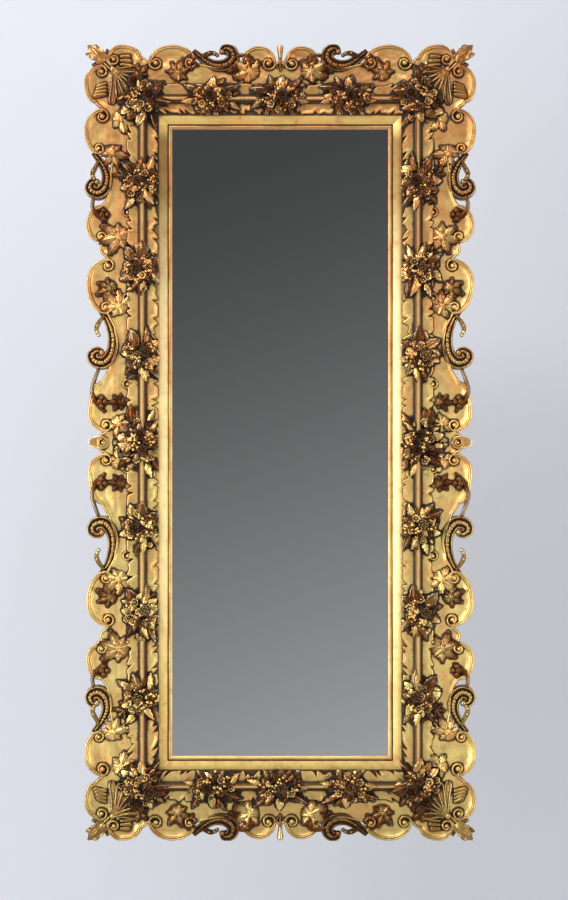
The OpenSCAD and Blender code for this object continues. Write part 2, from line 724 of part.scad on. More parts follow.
module nail(x, y) {
  nail_at(x, y, nail_r, boards_back, nail_tip);
  nail_at(x, y, 3 * nail_r, boards_back - 1, boards_back);
}
module backboard_nails()
  color("darkslategray") stand() {
    for (way = [-1, 1], y = side_nail_y()) nail(way * (half_w + nail_d), y);
    for (way = [-1, 1], x = head_nail_x()) nail(x, way * (half_h + nail_d));
  }

// Hanging hardware: each strap is rolled round the straight bar of its D-ring

screw_tip = back_t + 20;
head_r = 4;
head_t = 2;

module strap_hanger_right()
  color("silver") stand() difference() {
    union() {
      translate([hinge_x - strap_w / 2, hanger_z - strap_l, back_t - strap_t])
        cube([strap_w, strap_l, strap_t]);
      translate([hinge_x, hanger_z, hinge_t]) rotate([0, 90, 0])
        cylinder(h = strap_w, r = loop_r, center = true);
    }
    translate([hinge_x, hanger_z, hinge_t]) rotate([0, 90, 0])
      cylinder(h = strap_w + 2, r = ring_wire_r + ring_play, center = true);
    for (d = screw_drops) nail_at(hinge_x, hanger_z - d, screw_r + 0.3, back_t - strap_t - 1, back_t + 1);
  }
module strap_hanger_left() mirror([1, 0, 0]) strap_hanger_right();

// The ring hangs from its bar: two tight bends, two short legs and a half circle
bend_r = 3;
leg = 7;
bar_half = ring_r - bend_r;
module d_ring_right()
  color("silver") stand() translate([hinge_x, hanger_z, hinge_t]) {
    rotate([0, 90, 0]) cylinder(h = 2 * bar_half, r = ring_wire_r, center = true);
    for (way = [0, 1]) mirror([way, 0, 0]) {
      translate([bar_half, -bend_r, 0]) rotate_extrude(angle = 90) translate([bend_r, 0]) circle(ring_wire_r);
      translate([ring_r, -bend_r - leg, 0]) rotate([-90, 0, 0]) cylinder(h = leg, r = ring_wire_r);
    }
    translate([0, -bend_r - leg, 0]) rotate(180)
      rotate_extrude(angle = 180) translate([ring_r, 0]) circle(ring_wire_r);
  }
module d_ring_left() mirror([1, 0, 0]) d_ring_right();

module hanger_screws()
  color("gray") stand()
    for (way = [-1, 1], d = screw_drops) {
      nail_at(way * hinge_x, hanger_z - d, screw_r, back_t - strap_t, screw_tip);
      nail_at(way * hinge_x, hanger_z - d, head_r, back_t - strap_t - head_t, back_t - strap_t);
    }

module wall_pads()
  color("saddlebrown") stand()
    for (x = [-1, 1], y = [-1, 1])
      translate([x * pad_x, y * pad_z, 0]) cylinder(h = wall_gap, r = pad_r);

stile_left();
stile_right();
back_rail_top();
back_rail_bottom();
lap_pegs();
border_left();
border_right();
border_top();
border_bottom();
corner_shell_tl();
corner_shell_tr();
corner_shell_bl();
corner_shell_br();
leaf_band_left();
leaf_band_right();
leaf_band_top();
leaf_band_bottom();
rod_left();
rod_right();
rod_head();  // rod_top
rod_foot();  // rod_bottom
sight_moulding_left();
sight_moulding_right();
sight_moulding_top();
sight_moulding_bottom();
sight_slip_left();
sight_slip_right();
sight_slip_top();
sight_slip_bottom();
corner_cluster_tl();
corner_cluster_tr();
corner_cluster_bl();
corner_cluster_br();
centre_cluster_left();
centre_cluster_right();
centre_cluster_top();
centre_cluster_bottom();
clusters_left_upper();
clusters_left_lower();
clusters_right_upper();
clusters_right_lower();
clusters_top();
clusters_bottom();
mirror_plate();
backing_felt();
glazing_blocks();
backboard_left();
backboard_centre();
backboard_right();
backboard_nails();
strap_hanger_left();
strap_hanger_right();
d_ring_left();
d_ring_right();
hanger_screws();
wall_pads();
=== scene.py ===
"""Looks of a carved giltwood dressing mirror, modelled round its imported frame.

Carvings are worked out in a front view: x to the right, y up, z forward from the wall, in millimetres.
Patterns on a rail are [along, out]: along the rail from its middle, and outward from the edge of the ground.
"""
import math

import bmesh
import bpy
import numpy as np
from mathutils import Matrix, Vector
from mathutils.geometry import tessellate_polygon


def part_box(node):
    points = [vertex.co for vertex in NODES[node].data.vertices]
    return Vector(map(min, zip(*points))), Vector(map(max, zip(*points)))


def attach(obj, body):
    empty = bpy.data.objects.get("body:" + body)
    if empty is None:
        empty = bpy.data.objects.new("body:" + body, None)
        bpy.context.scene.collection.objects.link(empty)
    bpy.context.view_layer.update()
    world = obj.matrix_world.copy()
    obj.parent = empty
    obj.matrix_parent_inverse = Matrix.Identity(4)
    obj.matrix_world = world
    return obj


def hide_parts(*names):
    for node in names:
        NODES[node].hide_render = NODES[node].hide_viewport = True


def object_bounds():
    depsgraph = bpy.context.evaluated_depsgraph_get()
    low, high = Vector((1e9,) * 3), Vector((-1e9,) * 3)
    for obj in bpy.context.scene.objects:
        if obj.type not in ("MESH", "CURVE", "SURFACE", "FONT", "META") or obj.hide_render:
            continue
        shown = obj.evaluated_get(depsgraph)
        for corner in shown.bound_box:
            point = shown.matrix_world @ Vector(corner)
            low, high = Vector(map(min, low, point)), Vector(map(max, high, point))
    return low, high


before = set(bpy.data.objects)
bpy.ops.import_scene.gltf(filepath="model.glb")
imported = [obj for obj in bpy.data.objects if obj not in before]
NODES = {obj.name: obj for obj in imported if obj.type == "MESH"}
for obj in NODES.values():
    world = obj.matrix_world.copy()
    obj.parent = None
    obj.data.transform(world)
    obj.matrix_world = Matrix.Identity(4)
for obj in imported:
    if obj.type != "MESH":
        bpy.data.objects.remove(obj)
CAD_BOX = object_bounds()
MM = 0.001

# Sizes read from the frame


def reach(node, corner, axis):
    """How far a corner of a CAD node lies from the origin along an axis, in mm."""
    return abs(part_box(node)[corner][axis]) / MM


half_w = reach("sight_slip_right", 0, 0)
half_h = reach("sight_slip_top", 0, 2)
face_t = reach("stile_right", 0, 1)
ground_t = reach("sight_moulding_right", 0, 1)
band_top = reach("leaf_band_right", 0, 1)
rod_top = reach("rod_right", 0, 1)
leaf_in = reach("leaf_band_right", 0, 0) - half_w
leaf_out = reach("leaf_band_right", 1, 0) - half_w
slip_w = reach("sight_slip_right", 1, 0) - half_w
front_t = reach("centre_cluster_left", 0, 1)
rod_d = (leaf_in + leaf_out) / 2
rod_r = rod_top - band_top
pattern_gap = 28  # from the leaf band to the line that the border's patterns are drawn from
strip_d = leaf_out + pattern_gap
half_of = {"left": half_h, "right": half_h, "top": half_w, "bottom": half_w}

# Carved patterns of half a rail, for the sides and for the head and foot, which both halves share.
# Lobe: place and radius of its first volute, its crown, place and radius of its second volute.
# Ground leaf: place, radius, turn, tint, tone and roundness of its tips.
# Husk: foot, angle and length of each rib.

patterns = {
    "side": {
        "lobes": [
            ((40, 17.6), 13, (65, 56), (137, 31), 0),
            ((306, 18), 14, (361, 60), (400, 13), 13.6),
            ((465.5, 27.8), 12, (490, 60.5), (535, 30), 0),
            ((665, 34), 11.5, (705, 64.5), (737, 26), 15),
            ((769, 43), 0, (812, 64.5), (838, 27.8), 13),
        ],
        "scrolls": [
            ((298, 31), (276, 14), (240, 2), (205, 4), (182, 20), (183, 41), (197, 49), (207, 38),
             (203, 27)),
            ((655, 47), (630, 27), (602, 15), (576, 20), (564, 36), (572, 53), (587, 50), (589, 38)),
        ],
        "tendrils": [
            ((172, 32), (140, 44), (115, 49), (92, 40), (70, 20)),
            ((560, 44), (532, 48), (515, 35), (500, 16)),
        ],
        "curls": [
            ((288, 22), (272, 34), (256, 40), (243, 34)),
            ((640, 34), (622, 42), (607, 49), (596, 44)),
        ],
        "leaves": [
            ((733, -15), 44, 262, 0.3, 0.0, 2.0), ((655, 4), 46, 205, 0.9, 0.2, 1.2),
            ((466, -12), 56, 100, 0.8, 0.3, 1.1), ((350, 8), 38, 125, 0.5, 0.6, 0.9),
            ((308, -12), 48, 55, 0.8, 0.2, 1.5), ((92, -14), 33, 100, 0.6, 0.85, 0.7),
            ((44, -10), 40, 215, 0.9, 0.15, 1.4), ((6, -20), 30, 160, 0.2, 0.1, 1.6),
            ((604, -24), 30, 40, 0.3, 0.6, 0.8),
        ],
        "husk": [((787 + 8.5 * k, 16), 92 + 5 * k, 31 - 2 * k) for k in range(4)],
    },
    "head": {
        "lobes": [
            ((26.5, 15), 15, (47, 53), (84, 25), 0),
            ((204.5, 17.5), 13, (244, 56), (281, 16.6), 15),
            ((315, 31), 0, (359, 56.5), (376, 25), 13),
        ],
        "scrolls": [
            ((196, 46), (175, 27), (150, 12), (124, 12), (107, 26), (110, 44), (124, 50), (131, 42)),
        ],
        "tendrils": [((106, 28), (88, 34), (70, 30), (60, 14))],
        "curls": [((182, 30), (168, 36), (154, 40), (142, 34))],
        "leaves": [
            ((68, -2), 50, 25, 0.4, 0.05, 2.4), ((232, -6), 44, 115, 0.6, 0.3, 0.7),
            ((206, 20), 27, 200, 0.7, 0.7, 1.2), ((98, 2), 25, -20, 0.5, 0.9, 0.8),
            ((318, -10), 32, 80, 0.4, 0.4, 1.4),
        ],
        "husk": [((362, 14 + 8.5 * k), 184 - 6 * k, 30 - 3 * k) for k in range(3)],
    },
}

# Curves


def lobe_arc(a, e, b, n=22):
    """Two quarter ellipses from a over the crown e to b."""
    q = np.linspace(0, math.pi / 2, n)
    up = np.stack([e[0] - (e[0] - a[0]) * np.cos(q), a[1] + (e[1] - a[1]) * np.sin(q)], 1)
    down = np.stack([e[0] + (b[0] - e[0]) * np.sin(q), b[1] + (e[1] - b[1]) * np.cos(q)], 1)
    return np.vstack([up, down[1:]])


def volute(c, r, start, way, turn=345, n=40):
    """Spiral that winds in round c from radius r."""
    f = np.linspace(1 / n, 1, n)
    a = np.radians(start + way * turn * f)
    rad = r * (1 - 0.56 * f)
    return np.stack([c[0] + rad * np.cos(a), c[1] + rad * np.sin(a)], 1)


def smooth(path, n=8):
    """Smooth curve through a few points."""
    p = np.array(path, float)
    p = np.vstack([2 * p[0] - p[1], p, 2 * p[-1] - p[-2]])
    out = []
    for i in range(1, len(p) - 2):
        t = np.linspace(0, 1, n, endpoint=False)[:, None]
        a, b, c, d = p[i - 1], p[i], p[i + 1], p[i + 2]
        out.append(0.5 * (2 * b + (c - a) * t + (2 * a - 5 * b + 4 * c - d) * t ** 2
                          + (3 * b - a - 3 * c + d) * t ** 3))
    return np.vstack(out + [p[-2:-1]])


def swell(start, middle, end, n):
    """Widths that grow to the middle of a path and shrink again."""
    f = np.linspace(0, 1, n)
    s = np.sin(math.pi * f)
    return np.where(f < 0.5, start + (middle - start) * s, end + (middle - end) * s)


def step(x, a, b):
    """Soft step from 0 at a to 1 at b."""
    t = np.clip((x - a) / (b - a), 0, 1)
    return t * t * (3 - 2 * t)


def unevenness(x, y, size, seed):
    """Soft hand-worked unevenness, between about -1 and 1, with hollows about `size` mm across."""
    rng = np.random.default_rng(seed)
    total = 0
    for _ in range(7):
        a, f = rng.uniform(0, 2 * math.pi), rng.uniform(0.6, 1.6) * math.pi / size
        total = total + np.sin((x * math.cos(a) + y * math.sin(a)) * f + rng.uniform(0, 7))
    return total / 3.2


# Meshes


class Carving:
    """Closed shells gathered in the front view, with a tint and a tone for each."""

    def __init__(self):
        self.v, self.q, self.t, self.tint, self.tone, self.n = [], [], [], [], [], 0

    def add(self, shell, tint=0.3, tone=0.3):
        v, q, t = shell
        self.v.append(v)
        self.q.append(np.asarray(q, int).reshape(-1, 4) + self.n)
        self.t.append(np.asarray(t, int).reshape(-1, 3) + self.n)
        self.tint.append(np.broadcast_to(tint, len(v)))
        self.tone.append(np.broadcast_to(tone, len(v)))
        self.n += len(v)

    def arrays(self):
        return (np.vstack(self.v), np.vstack(self.q), np.vstack(self.t),
                np.concatenate(self.tint), np.concatenate(self.tone))


def loft(rings):
    """Closed shell through rings of points, capped at both ends."""
    n, k, _ = rings.shape
    i, j = np.arange(n - 1)[:, None] * k, np.arange(k)[None, :]
    j2 = (j + 1) % k
    quads = np.stack([i + j, i + j2, i + k + j2, i + k + j], -1).reshape(-1, 4)
    v = np.vstack([rings.reshape(-1, 3), rings[0].mean(0), rings[-1].mean(0)])
    j, j2, last = np.arange(k), (np.arange(k) + 1) % k, (n - 1) * k
    first_cap = np.stack([np.full(k, n * k), j2, j], 1)
    last_cap = np.stack([np.full(k, n * k + 1), last + j, last + j2], 1)
    return v, quads, np.vstack([first_cap, last_cap])


def sheet(front, thickness):
    """Closed leaf-like shell: a grid of points and the same grid set back by a thickness."""
    n, m, _ = front.shape
    back = front - np.array([0, 0, 1.0]) * np.asarray(thickness)[..., None]
    i, j = np.arange(n - 1)[:, None] * m, np.arange(m - 1)[None, :]
    quads = np.stack([i + j, i + j + 1, i + m + j + 1, i + m + j], -1).reshape(-1, 4)
    rim = np.concatenate([np.arange(m), np.arange(2, n + 1) * m - 1,
                          n * m - 2 - np.arange(m - 1), (np.arange(n - 2, 0, -1)) * m])
    nxt, s = np.roll(rim, -1), n * m
    walls = np.stack([nxt, rim, rim + s, nxt + s], 1)
    v = np.vstack([front.reshape(-1, 3), back.reshape(-1, 3)])
    return v, np.vstack([quads, quads[:, ::-1] + s, walls]), np.zeros((0, 3), int)


def disc(front, thickness):
    """Closed shell over a polar grid: rings of points from the middle out."""
    n, k, _ = front.shape
    s = n * k
    i, j = np.arange(n - 1)[:, None] * k, np.arange(k)[None, :]
    j2 = (j + 1) % k
    quads = np.stack([i + j, i + k + j, i + k + j2, i + j2], -1).reshape(-1, 4)
    back = front - np.array([0, 0, thickness])
    j, j2, last = np.arange(k), (np.arange(k) + 1) % k, (n - 1) * k
    walls = np.stack([last + j, last + j + s, last + j2 + s, last + j2], 1)
    v = np.vstack([front.reshape(-1, 3), back.reshape(-1, 3), front[0].mean(0), back[0].mean(0)])
    front_cap = np.stack([np.full(k, 2 * s), j, j2], 1)
    back_cap = np.stack([np.full(k, 2 * s + 1), s + j2, s + j], 1)
    return v, np.vstack([quads, quads[:, ::-1] + s, walls]), np.vstack([front_cap, back_cap])


def bead(centre, radius, height=None, sides=10, rows=6):
    """Round boss."""
    a = np.linspace(0, 2 * math.pi, sides, endpoint=False)
    e = np.linspace(-math.pi / 2, math.pi / 2, rows + 2)[1:-1]
    height = height or radius
    ring = np.stack([radius * np.cos(e)[:, None] * np.cos(a), radius * np.cos(e)[:, None] * np.sin(a),
                     np.repeat(height * np.sin(e)[:, None], sides, 1)], -1)
    v, q, t = loft(ring + np.asarray(centre))
    v[-2], v[-1] = np.add(centre, (0, 0, -height)), np.add(centre, (0, 0, height))
    return v, q, t


# Sections, across and up, each about one unit high

half_round = np.array([(-1, -0.5), (-1, 0.15), (-0.8, 0.62), (-0.42, 0.92), (0, 1),
                       (0.42, 0.92), (0.8, 0.62), (1, 0.15), (1, -0.5)])
fluted = np.array([(-1, -1), (-1, 0.5), (-0.9, 0.86), (-0.76, 0.95), (-0.62, 0.8), (-0.5, 0.6),
                   (-0.34, 0.72), (-0.16, 0.95), (0, 1), (0.16, 0.95), (0.34, 0.72), (0.5, 0.6),
                   (0.62, 0.8), (0.76, 0.95), (0.9, 0.86), (1, 0.5), (1, -1)])
channel = np.array([(-1, -0.5), (-1, 0.5), (-0.86, 0.95), (-0.66, 0.92), (-0.45, 0.6), (-0.2, 0.42),
                    (0, 0.38), (0.2, 0.42), (0.45, 0.6), (0.66, 0.92), (0.86, 0.95), (1, 0.5), (1, -0.5)])
round_stem = np.array([(math.cos(a), math.sin(a)) for a in np.linspace(0, 2 * math.pi, 10, endpoint=False)])


def sweep(path, depth, across, up, section):
    """Section swept along a flat path: `across` is its width and `up` its height at each point."""
    p = np.asarray(path, float)
    n = len(p)
    along = np.gradient(p, axis=0)
    along /= np.linalg.norm(along, axis=1)[:, None]
    side = np.stack([-along[:, 1], along[:, 0]], 1)
    depth, across, up = (np.broadcast_to(x, n) for x in (depth, across, up))
    ring = np.zeros((n, len(section), 3))
    ring[:, :, :2] = p[:, None] + side[:, None] * (section[None, :, :1] * across[:, None, None] / 2)
    ring[:, :, 2] = depth[:, None] + section[None, :, 1] * up[:, None]
    return loft(ring)


def shown(name, data):
    """Object in the scene, at the origin."""
    obj = bpy.data.objects.new(name, data)
    bpy.context.scene.collection.objects.link(obj)
    return obj


def store(mesh, label, values, kind="FLOAT", field="value"):
    """Keeps numbers on a mesh's points, for a material or a tree to read."""
    layer = mesh.attributes.new(label, kind, "POINT")
    layer.data.foreach_set(field, np.asarray(values, np.float32).ravel())


def mesh_object(name, carving):
    """Mesh object in the frame's own axes and metres, with doubles merged and faces outward."""
    v, q, t, tint, tone = carving.arrays()
    mesh = bpy.data.meshes.new(name)
    world = np.stack([v[:, 0], -v[:, 2], v[:, 1]], 1) * MM
    world = np.clip(world, *CAD_BOX)
    mesh.from_pydata(world.tolist(), [], q.tolist() + t.tolist())
    for label, values in (("tint", tint), ("tone", tone), ("toner_and_shading", patina_at(v))):
        store(mesh, label, values)
    bm = bmesh.new()
    bm.from_mesh(mesh)
    bmesh.ops.remove_doubles(bm, verts=bm.verts, dist=0.02 * MM)
    bmesh.ops.dissolve_degenerate(bm, edges=bm.edges, dist=0.01 * MM)
    bmesh.ops.recalc_face_normals(bm, faces=bm.faces)
    bm.to_mesh(mesh)
    bm.free()
    mesh.shade_smooth()
    return shown(name, mesh)


# Rails


def put(rail, shell):
    """Moves a shell from a rail's own pattern to its place in the front view."""
    v, q, t = shell
    far = v[:, 1] + strip_d
    if rail in ("left", "right"):
        sign = 1 if rail == "right" else -1
        v = np.stack([sign * (half_w + far), v[:, 0], v[:, 2]], 1)
    else:
        sign = 1 if rail == "top" else -1
        v = np.stack([v[:, 0], sign * (half_h + far), v[:, 2]], 1)
    return v, q, t


def both_ways(shell):
    """A shell and its mirror image on the other half of the rail."""
    v, q, t = shell
    yield shell
    yield v * np.array([-1, 1, 1]), q, t


# Border boards


def outline_of(node):
    """Outline of a border board, read from the flat back of its solid, as [along, out]."""
    bm = bmesh.new()
    bm.from_mesh(NODES[node].data)
    bmesh.ops.remove_doubles(bm, verts=bm.verts, dist=0.01 * MM)
    back = {f for f in bm.faces if all(abs(v.co.y / MM + face_t) < 0.05 for v in f.verts)}
    follow = {}
    for f in back:
        for loop in f.loops:
            if sum(g in back for g in loop.edge.link_faces) == 1:
                follow[loop.vert.index] = loop.link_loop_next.vert.index
    bm.verts.ensure_lookup_table()
    best = []
    while follow:
        start = next(iter(follow))
        ring = [start]
        here = follow.pop(start)
        while here != start and here in follow:
            ring.append(here)
            here = follow.pop(here)
        best = max(best, ring, key=len)
    co = np.array([bm.verts[i].co for i in best]) / MM
    bm.free()
    if node in ("border_left", "border_right"):
        return np.stack([co[:, 2], np.abs(co[:, 0]) - half_w - strip_d], 1)
    return np.stack([co[:, 0], np.abs(co[:, 2]) - half_h - strip_d], 1)


def soften(loop, short=30):
    """Cuts the corners of an outline, except where long straight edges meet."""
    out = []
    for i in range(len(loop)):
        a, b, c = loop[i - 1], loop[i], loop[(i + 1) % len(loop)]
        if np.linalg.norm(b - a) < short and np.linalg.norm(c - b) < short:
            out += [b + (a - b) * 0.25, b + (c - b) * 0.25]
        else:
            out.append(b)
    return np.array(out)


def nearest(p, loop, far=42, block=60):
    """For each point: whether the loop encloses it, the nearest place on the loop and how far that is."""
    a, b = loop, np.roll(loop, -1, 0)
    inside = np.zeros(len(p), bool)
    place = p.copy()
    dist = np.full(len(p), float(far))
    cell = np.floor(p[:, 0] / block).astype(int)
    for c in np.unique(cell):
        own = np.where(cell == c)[0]
        lo, hi = c * block - far, (c + 1) * block + far
        use = (np.minimum(a[:, 0], b[:, 0]) < hi) & (np.maximum(a[:, 0], b[:, 0]) > lo)
        pa, pb, x = a[use], b[use], p[own]
        span = (pb - pa)[None]
        f = ((x[:, None] - pa[None]) * span).sum(-1) / np.maximum((span ** 2).sum(-1), 1e-9)
        foot = pa[None] + np.clip(f, 0, 1)[..., None] * span
        d = np.linalg.norm(foot - x[:, None], axis=-1)
        k = d.argmin(1)
        d = d[np.arange(len(own)), k]
        near = d < far
        dist[own[near]] = d[near]
        place[own[near]] = foot[np.arange(len(own)), k][near]
        crosses = (pa[None, :, 0] > x[:, :1]) != (pb[None, :, 0] > x[:, :1])
        width = pb[:, 0] - pa[:, 0]
        width = np.where(np.abs(width) < 1e-9, 1e-9, width)
        level = pa[None, :, 1] + (x[:, :1] - pa[None, :, 0]) / width[None] * (pb - pa)[None, :, 1]
        inside[own] = (crosses & (level > x[:, 1:])).sum(1) % 2 == 1
    return inside, place, dist


def relief(s, o, d, seed):
    """Height of a border's front: a raised lip along the outline, dished lobes and hand-worked ground."""
    lip_h, lip_at, lip_w, edge_round, edge_w = 4.6, 3.4, 2.3, 3.2, 2.6
    outer = step(o, -26, -4)
    lip = outer * (lip_h * np.exp(-((d - lip_at) / lip_w) ** 2) - edge_round * (1 - step(d, 0, edge_w)))
    dish = outer * step(d, 3, 20) * (0.8 + 3.4 * step(o, -6, 34))
    hand = 0.75 * unevenness(s, o, 34, seed) + 0.2 * unevenness(s, o, 10, seed + 1)
    return ground_t + lip - dish + hand * step(d, 1, 6)


def board(loop, seed, pitch=1.75):
    """Sculpted border board on a fine grid, with its boundary pulled onto the outline."""
    lo, hi = loop.min(0) - pitch, loop.max(0) + pitch
    along, out = (np.arange(lo[k], hi[k] + pitch, pitch) for k in (0, 1))
    s, o = np.meshgrid(along, out, indexing="ij")
    rows, cols = s.shape
    p = np.stack([s.ravel(), o.ravel()], 1)
    inside, place, dist = nearest(p, loop)
    i, j = np.arange(rows - 1)[:, None] * cols, np.arange(cols - 1)[None, :]
    quads = np.stack([i + j, i + cols + j, i + cols + j + 1, i + j + 1], -1).reshape(-1, 4)
    quads = quads[inside[quads].sum(1) >= 2]
    used = np.unique(quads)
    outside = used[~inside[used]]
    p[outside] = place[outside]
    dist[outside] = 0
    z = relief(p[:, 0], p[:, 1], dist, seed)
    renumber = np.full(len(p), -1)
    renumber[used] = np.arange(len(used))
    quads = renumber[quads]
    top = np.column_stack([p[used], z[used]])
    edges = np.vstack([quads[:, [k, (k + 1) % 4]] for k in range(4)])
    key = edges[:, 0] * len(top) + edges[:, 1]
    twin = edges[:, 1] * len(top) + edges[:, 0]
    border = edges[~np.isin(key, twin)]
    follow = dict(border.tolist())
    ring = [border[0][0]]
    while follow[ring[-1]] != ring[0]:
        ring.append(follow[ring[-1]])
    ring = np.array(ring)
    k, n = len(ring), len(top)
    sunk = top[ring] * np.array([1, 1, 0]) + np.array([0, 0, face_t])
    nxt = np.roll(np.arange(k), -1)
    walls = np.stack([ring, n + np.arange(k), n + nxt, ring[nxt]], 1)
    back = tessellate_polygon([[Vector(c) for c in sunk]])
    return np.vstack([top, sunk]), np.vstack([quads, walls]), np.array(back, int) + n


# Carvings on the border


def rim(lobe):
    """Raised rim of a lobe, which winds into a volute with a round eye at either end."""
    a, r0, crown, b, r1 = lobe
    a, b = np.array(a, float), np.array(b, float)
    arc = lobe_arc(a - (r0, 0), crown, b + (r1, 0))
    parts, rise = [arc], [np.zeros(len(arc))]
    if r0:
        parts.insert(0, volute(a, r0, 180, 1)[::-1])
        rise.insert(0, np.linspace(1, 0, len(parts[0])))
    if r1:
        parts.append(volute(b, r1, 0, -1))
        rise.append(np.linspace(0, 1, len(parts[-1])))
    path, rise = np.vstack(parts), np.concatenate(rise)
    thick = 4.6 + 1.2 * np.sin(math.pi * np.linspace(0, 1, len(path)))
    yield sweep(path, ground_t - 1 + 4 * rise, thick * (1 + 0.1 * rise), 6.8 + 1.2 * rise, half_round)
    for c, r in ((a, r0), (b, r1)):
        if r:
            yield bead((*c, ground_t + 4.5), 0.42 * r, 7, sides=16, rows=8)


def pierced_scroll(path):
    """Fluted scroll with a string of beads along its middle and a round knob at its inner end."""
    p = smooth(path)
    n = len(p)
    high, wide = swell(12, 22, 18, n), swell(11, 30, 16, n)
    yield sweep(p, face_t + 6, wide, high, fluted)
    yield bead((*p[-1], ground_t + 0.5), 7.2, 8, sides=14, rows=8)
    run = np.concatenate([[0], np.cumsum(np.linalg.norm(np.diff(p, axis=0), axis=1))])
    for d in np.arange(run[-1] * 0.22, run[-1] * 0.9, 7.5):
        k = int(np.searchsorted(run, d))
        yield bead((*p[k], face_t + 6 + high[k]), 0.17 * wide[k], 2.6, 8, 4)


def tendril(path):
    """Thin round shoot."""
    p = smooth(path)
    yield sweep(p, ground_t + 1.5, swell(8, 10, 5, len(p)), swell(5, 6, 4, len(p)), round_stem)


def curled_leaf(path):
    """Small fluted leaf inside a pierced scroll, with a bud at its end."""
    p = smooth(path, 6)
    yield sweep(p, ground_t - 3, swell(5, 11, 3, len(p)), swell(7, 10, 6, len(p)), fluted)
    for k, r in ((-1, 5), (-4, 5.5), (len(p) // 2, 4)):
        yield bead((*p[k], ground_t + 3), r, 5.5)


def rib(start, angle, length, thick, high, depth, bend=0.0, base=0.25, section=half_round):
    """Gadroon: a rib that swells from its base towards its round end, and may bend sideways."""
    f = np.sin(np.linspace(0, math.pi / 2, 14))
    a = np.radians(angle + bend * (f[1:] + f[:-1]) / 2)
    moves = np.diff(f)[:, None] * length * np.stack([np.cos(a), np.sin(a)], 1)
    p = np.array(start) + np.vstack([[0, 0], np.cumsum(moves, 0)])
    form = (base + (1 - base) * f ** 1.2) * np.sqrt(np.clip(1 - ((f - 0.8) / 0.205).clip(0) ** 2, 0.02, 1))
    return sweep(p, depth, thick * form, high * (0.35 + 0.65 * np.sqrt(form)), section)


vine_tips = np.radians([0, 48.75, -48.75, 101.25, -101.25])
vine_sizes = np.array([1, 0.92, 0.92, 0.7, 0.7])
vine_rows, vine_around = 9, 96
# How near each point of a vine leaf is to its outline, on its front, its back and their middles
vine_rim = np.append(np.tile(np.repeat(np.linspace(0, 1, vine_rows), vine_around), 2), (0, 0))


def vine_leaf(radius, tip, seed, thickness=3.0, height=7.0):
    """Five-pointed toothed leaf with a vein to each point, folded between its lobes."""
    rng = np.random.default_rng(seed)
    a = np.linspace(-math.pi, math.pi, vine_around, endpoint=False)
    apart = np.abs((a[:, None] - vine_tips[None] + math.pi) % (2 * math.pi) - math.pi)
    near = apart.min(1)
    size = vine_sizes * rng.uniform(0.86, 1.1, 5)
    cut = 0.5 - 0.12 * (tip - 0.7)
    edge = radius * np.maximum((size * (1 - cut * (apart / 0.43) ** tip)).max(1), 0.45)
    edge = edge * (1 - 0.15 * np.abs(2 * ((near / 0.2) % 1) - 1))
    f = np.linspace(0.08, 1, vine_rows)[:, None]
    x, y = f * edge * np.cos(a), f * edge * np.sin(a)
    off = f * edge * np.sin(np.minimum(near, 1.2))
    z = height * (0.72 + 0.28 * np.cos(f * 2.2)) + 2.0 * np.exp(-(off / 1.5) ** 2) * (1 - 0.5 * f)
    z = z - 3.4 * f * np.clip(near / 0.43, 0, 1) ** 1.5 + 2.2 * f ** 3
    z = z + 1.1 * np.sin((f * edge - 1.3 * off) * 0.8) * np.clip(off / 3, 0, 1)
    return disc(np.stack([x, y, z], -1), thickness)


def turned(shell, angle, place, depth=0.0, scale=1.0):
    """A shell turned and scaled about the origin, and then put at a place and depth."""
    v, q, t = shell
    c, s = math.cos(math.radians(angle)), math.sin(math.radians(angle))
    out = np.stack([v[:, 0] * c - v[:, 1] * s, v[:, 0] * s + v[:, 1] * c, v[:, 2]], 1) * scale
    return out + np.array([place[0], place[1], depth]), q, t


def blade(rows, cols):
    """Places on a leaf: how far from its base to its tip, and from edge to edge."""
    return np.meshgrid(np.linspace(0, 1, rows), np.linspace(-1, 1, cols), indexing="ij")


def pointed_leaf(rows=12, cols=7):
    """Leaf one unit long that runs along x, toothed, folded on its midrib and bending as it goes."""
    u, v = blade(rows, cols)
    wide = np.sin(math.pi * u ** 0.8) ** 0.8 * (1 - 0.3 * u) + 0.05 * (1 - u)
    wide = wide * (1 + 0.16 * np.sin(u * 21)) * (u < 1)
    z = 0.17 * np.sin(math.pi * u * 0.85) - 0.24 * u ** 2 - 0.22 * np.abs(v) * wide
    z = z + 0.04 * np.sin(u * 23 - 2.4 * np.abs(v)) * np.abs(v) + 0.07 * np.exp(-(v / 0.16) ** 2) * (1 - u)
    return sheet(np.stack([u, 0.26 * wide * v + 0.13 * u ** 2, z], -1), 0.06)


def broad_leaf(rows=12, cols=9, thickness=0.07):
    """Lobed leaf one unit long, pleated from its base to its tip."""
    u, v = blade(rows, cols)
    wide = np.sin(math.pi * u ** 0.72) ** 0.65 * (1 - 0.22 * u) + 0.08 * (1 - u)
    wide = wide * (1 - 0.2 * np.abs(np.cos(u * 10.5))) * (u < 1)
    z = 0.14 * np.sin(math.pi * u * 0.8) - 0.2 * u ** 2 - 0.1 * v ** 2 * wide
    z = z + 0.045 * np.cos(v * math.pi * 2) * np.sin(math.pi * np.clip(u * 1.1, 0, 1))
    z = z + 0.03 * np.sin(u * 19) * v ** 2
    return sheet(np.stack([u, 0.34 * wide * v - 0.08 * u ** 2, z], -1), thickness)


def curled_drop(length, wide):
    """Flat drop-shaped leaf with a raised edge, round at its far end."""
    u, v = blade(18, 11)
    half = np.sqrt(np.clip(1 - (2 * u ** 0.9 - 1) ** 2, 0, 1)) * (1 - 0.15 * u) * wide / 2 + 0.02
    z = 4 + 2.5 * v ** 4 * np.abs(np.sin(math.pi * u)) ** 0.5 - 2.0 * u ** 2
    return sheet(np.stack([u * length, half * v, z], -1), 6)


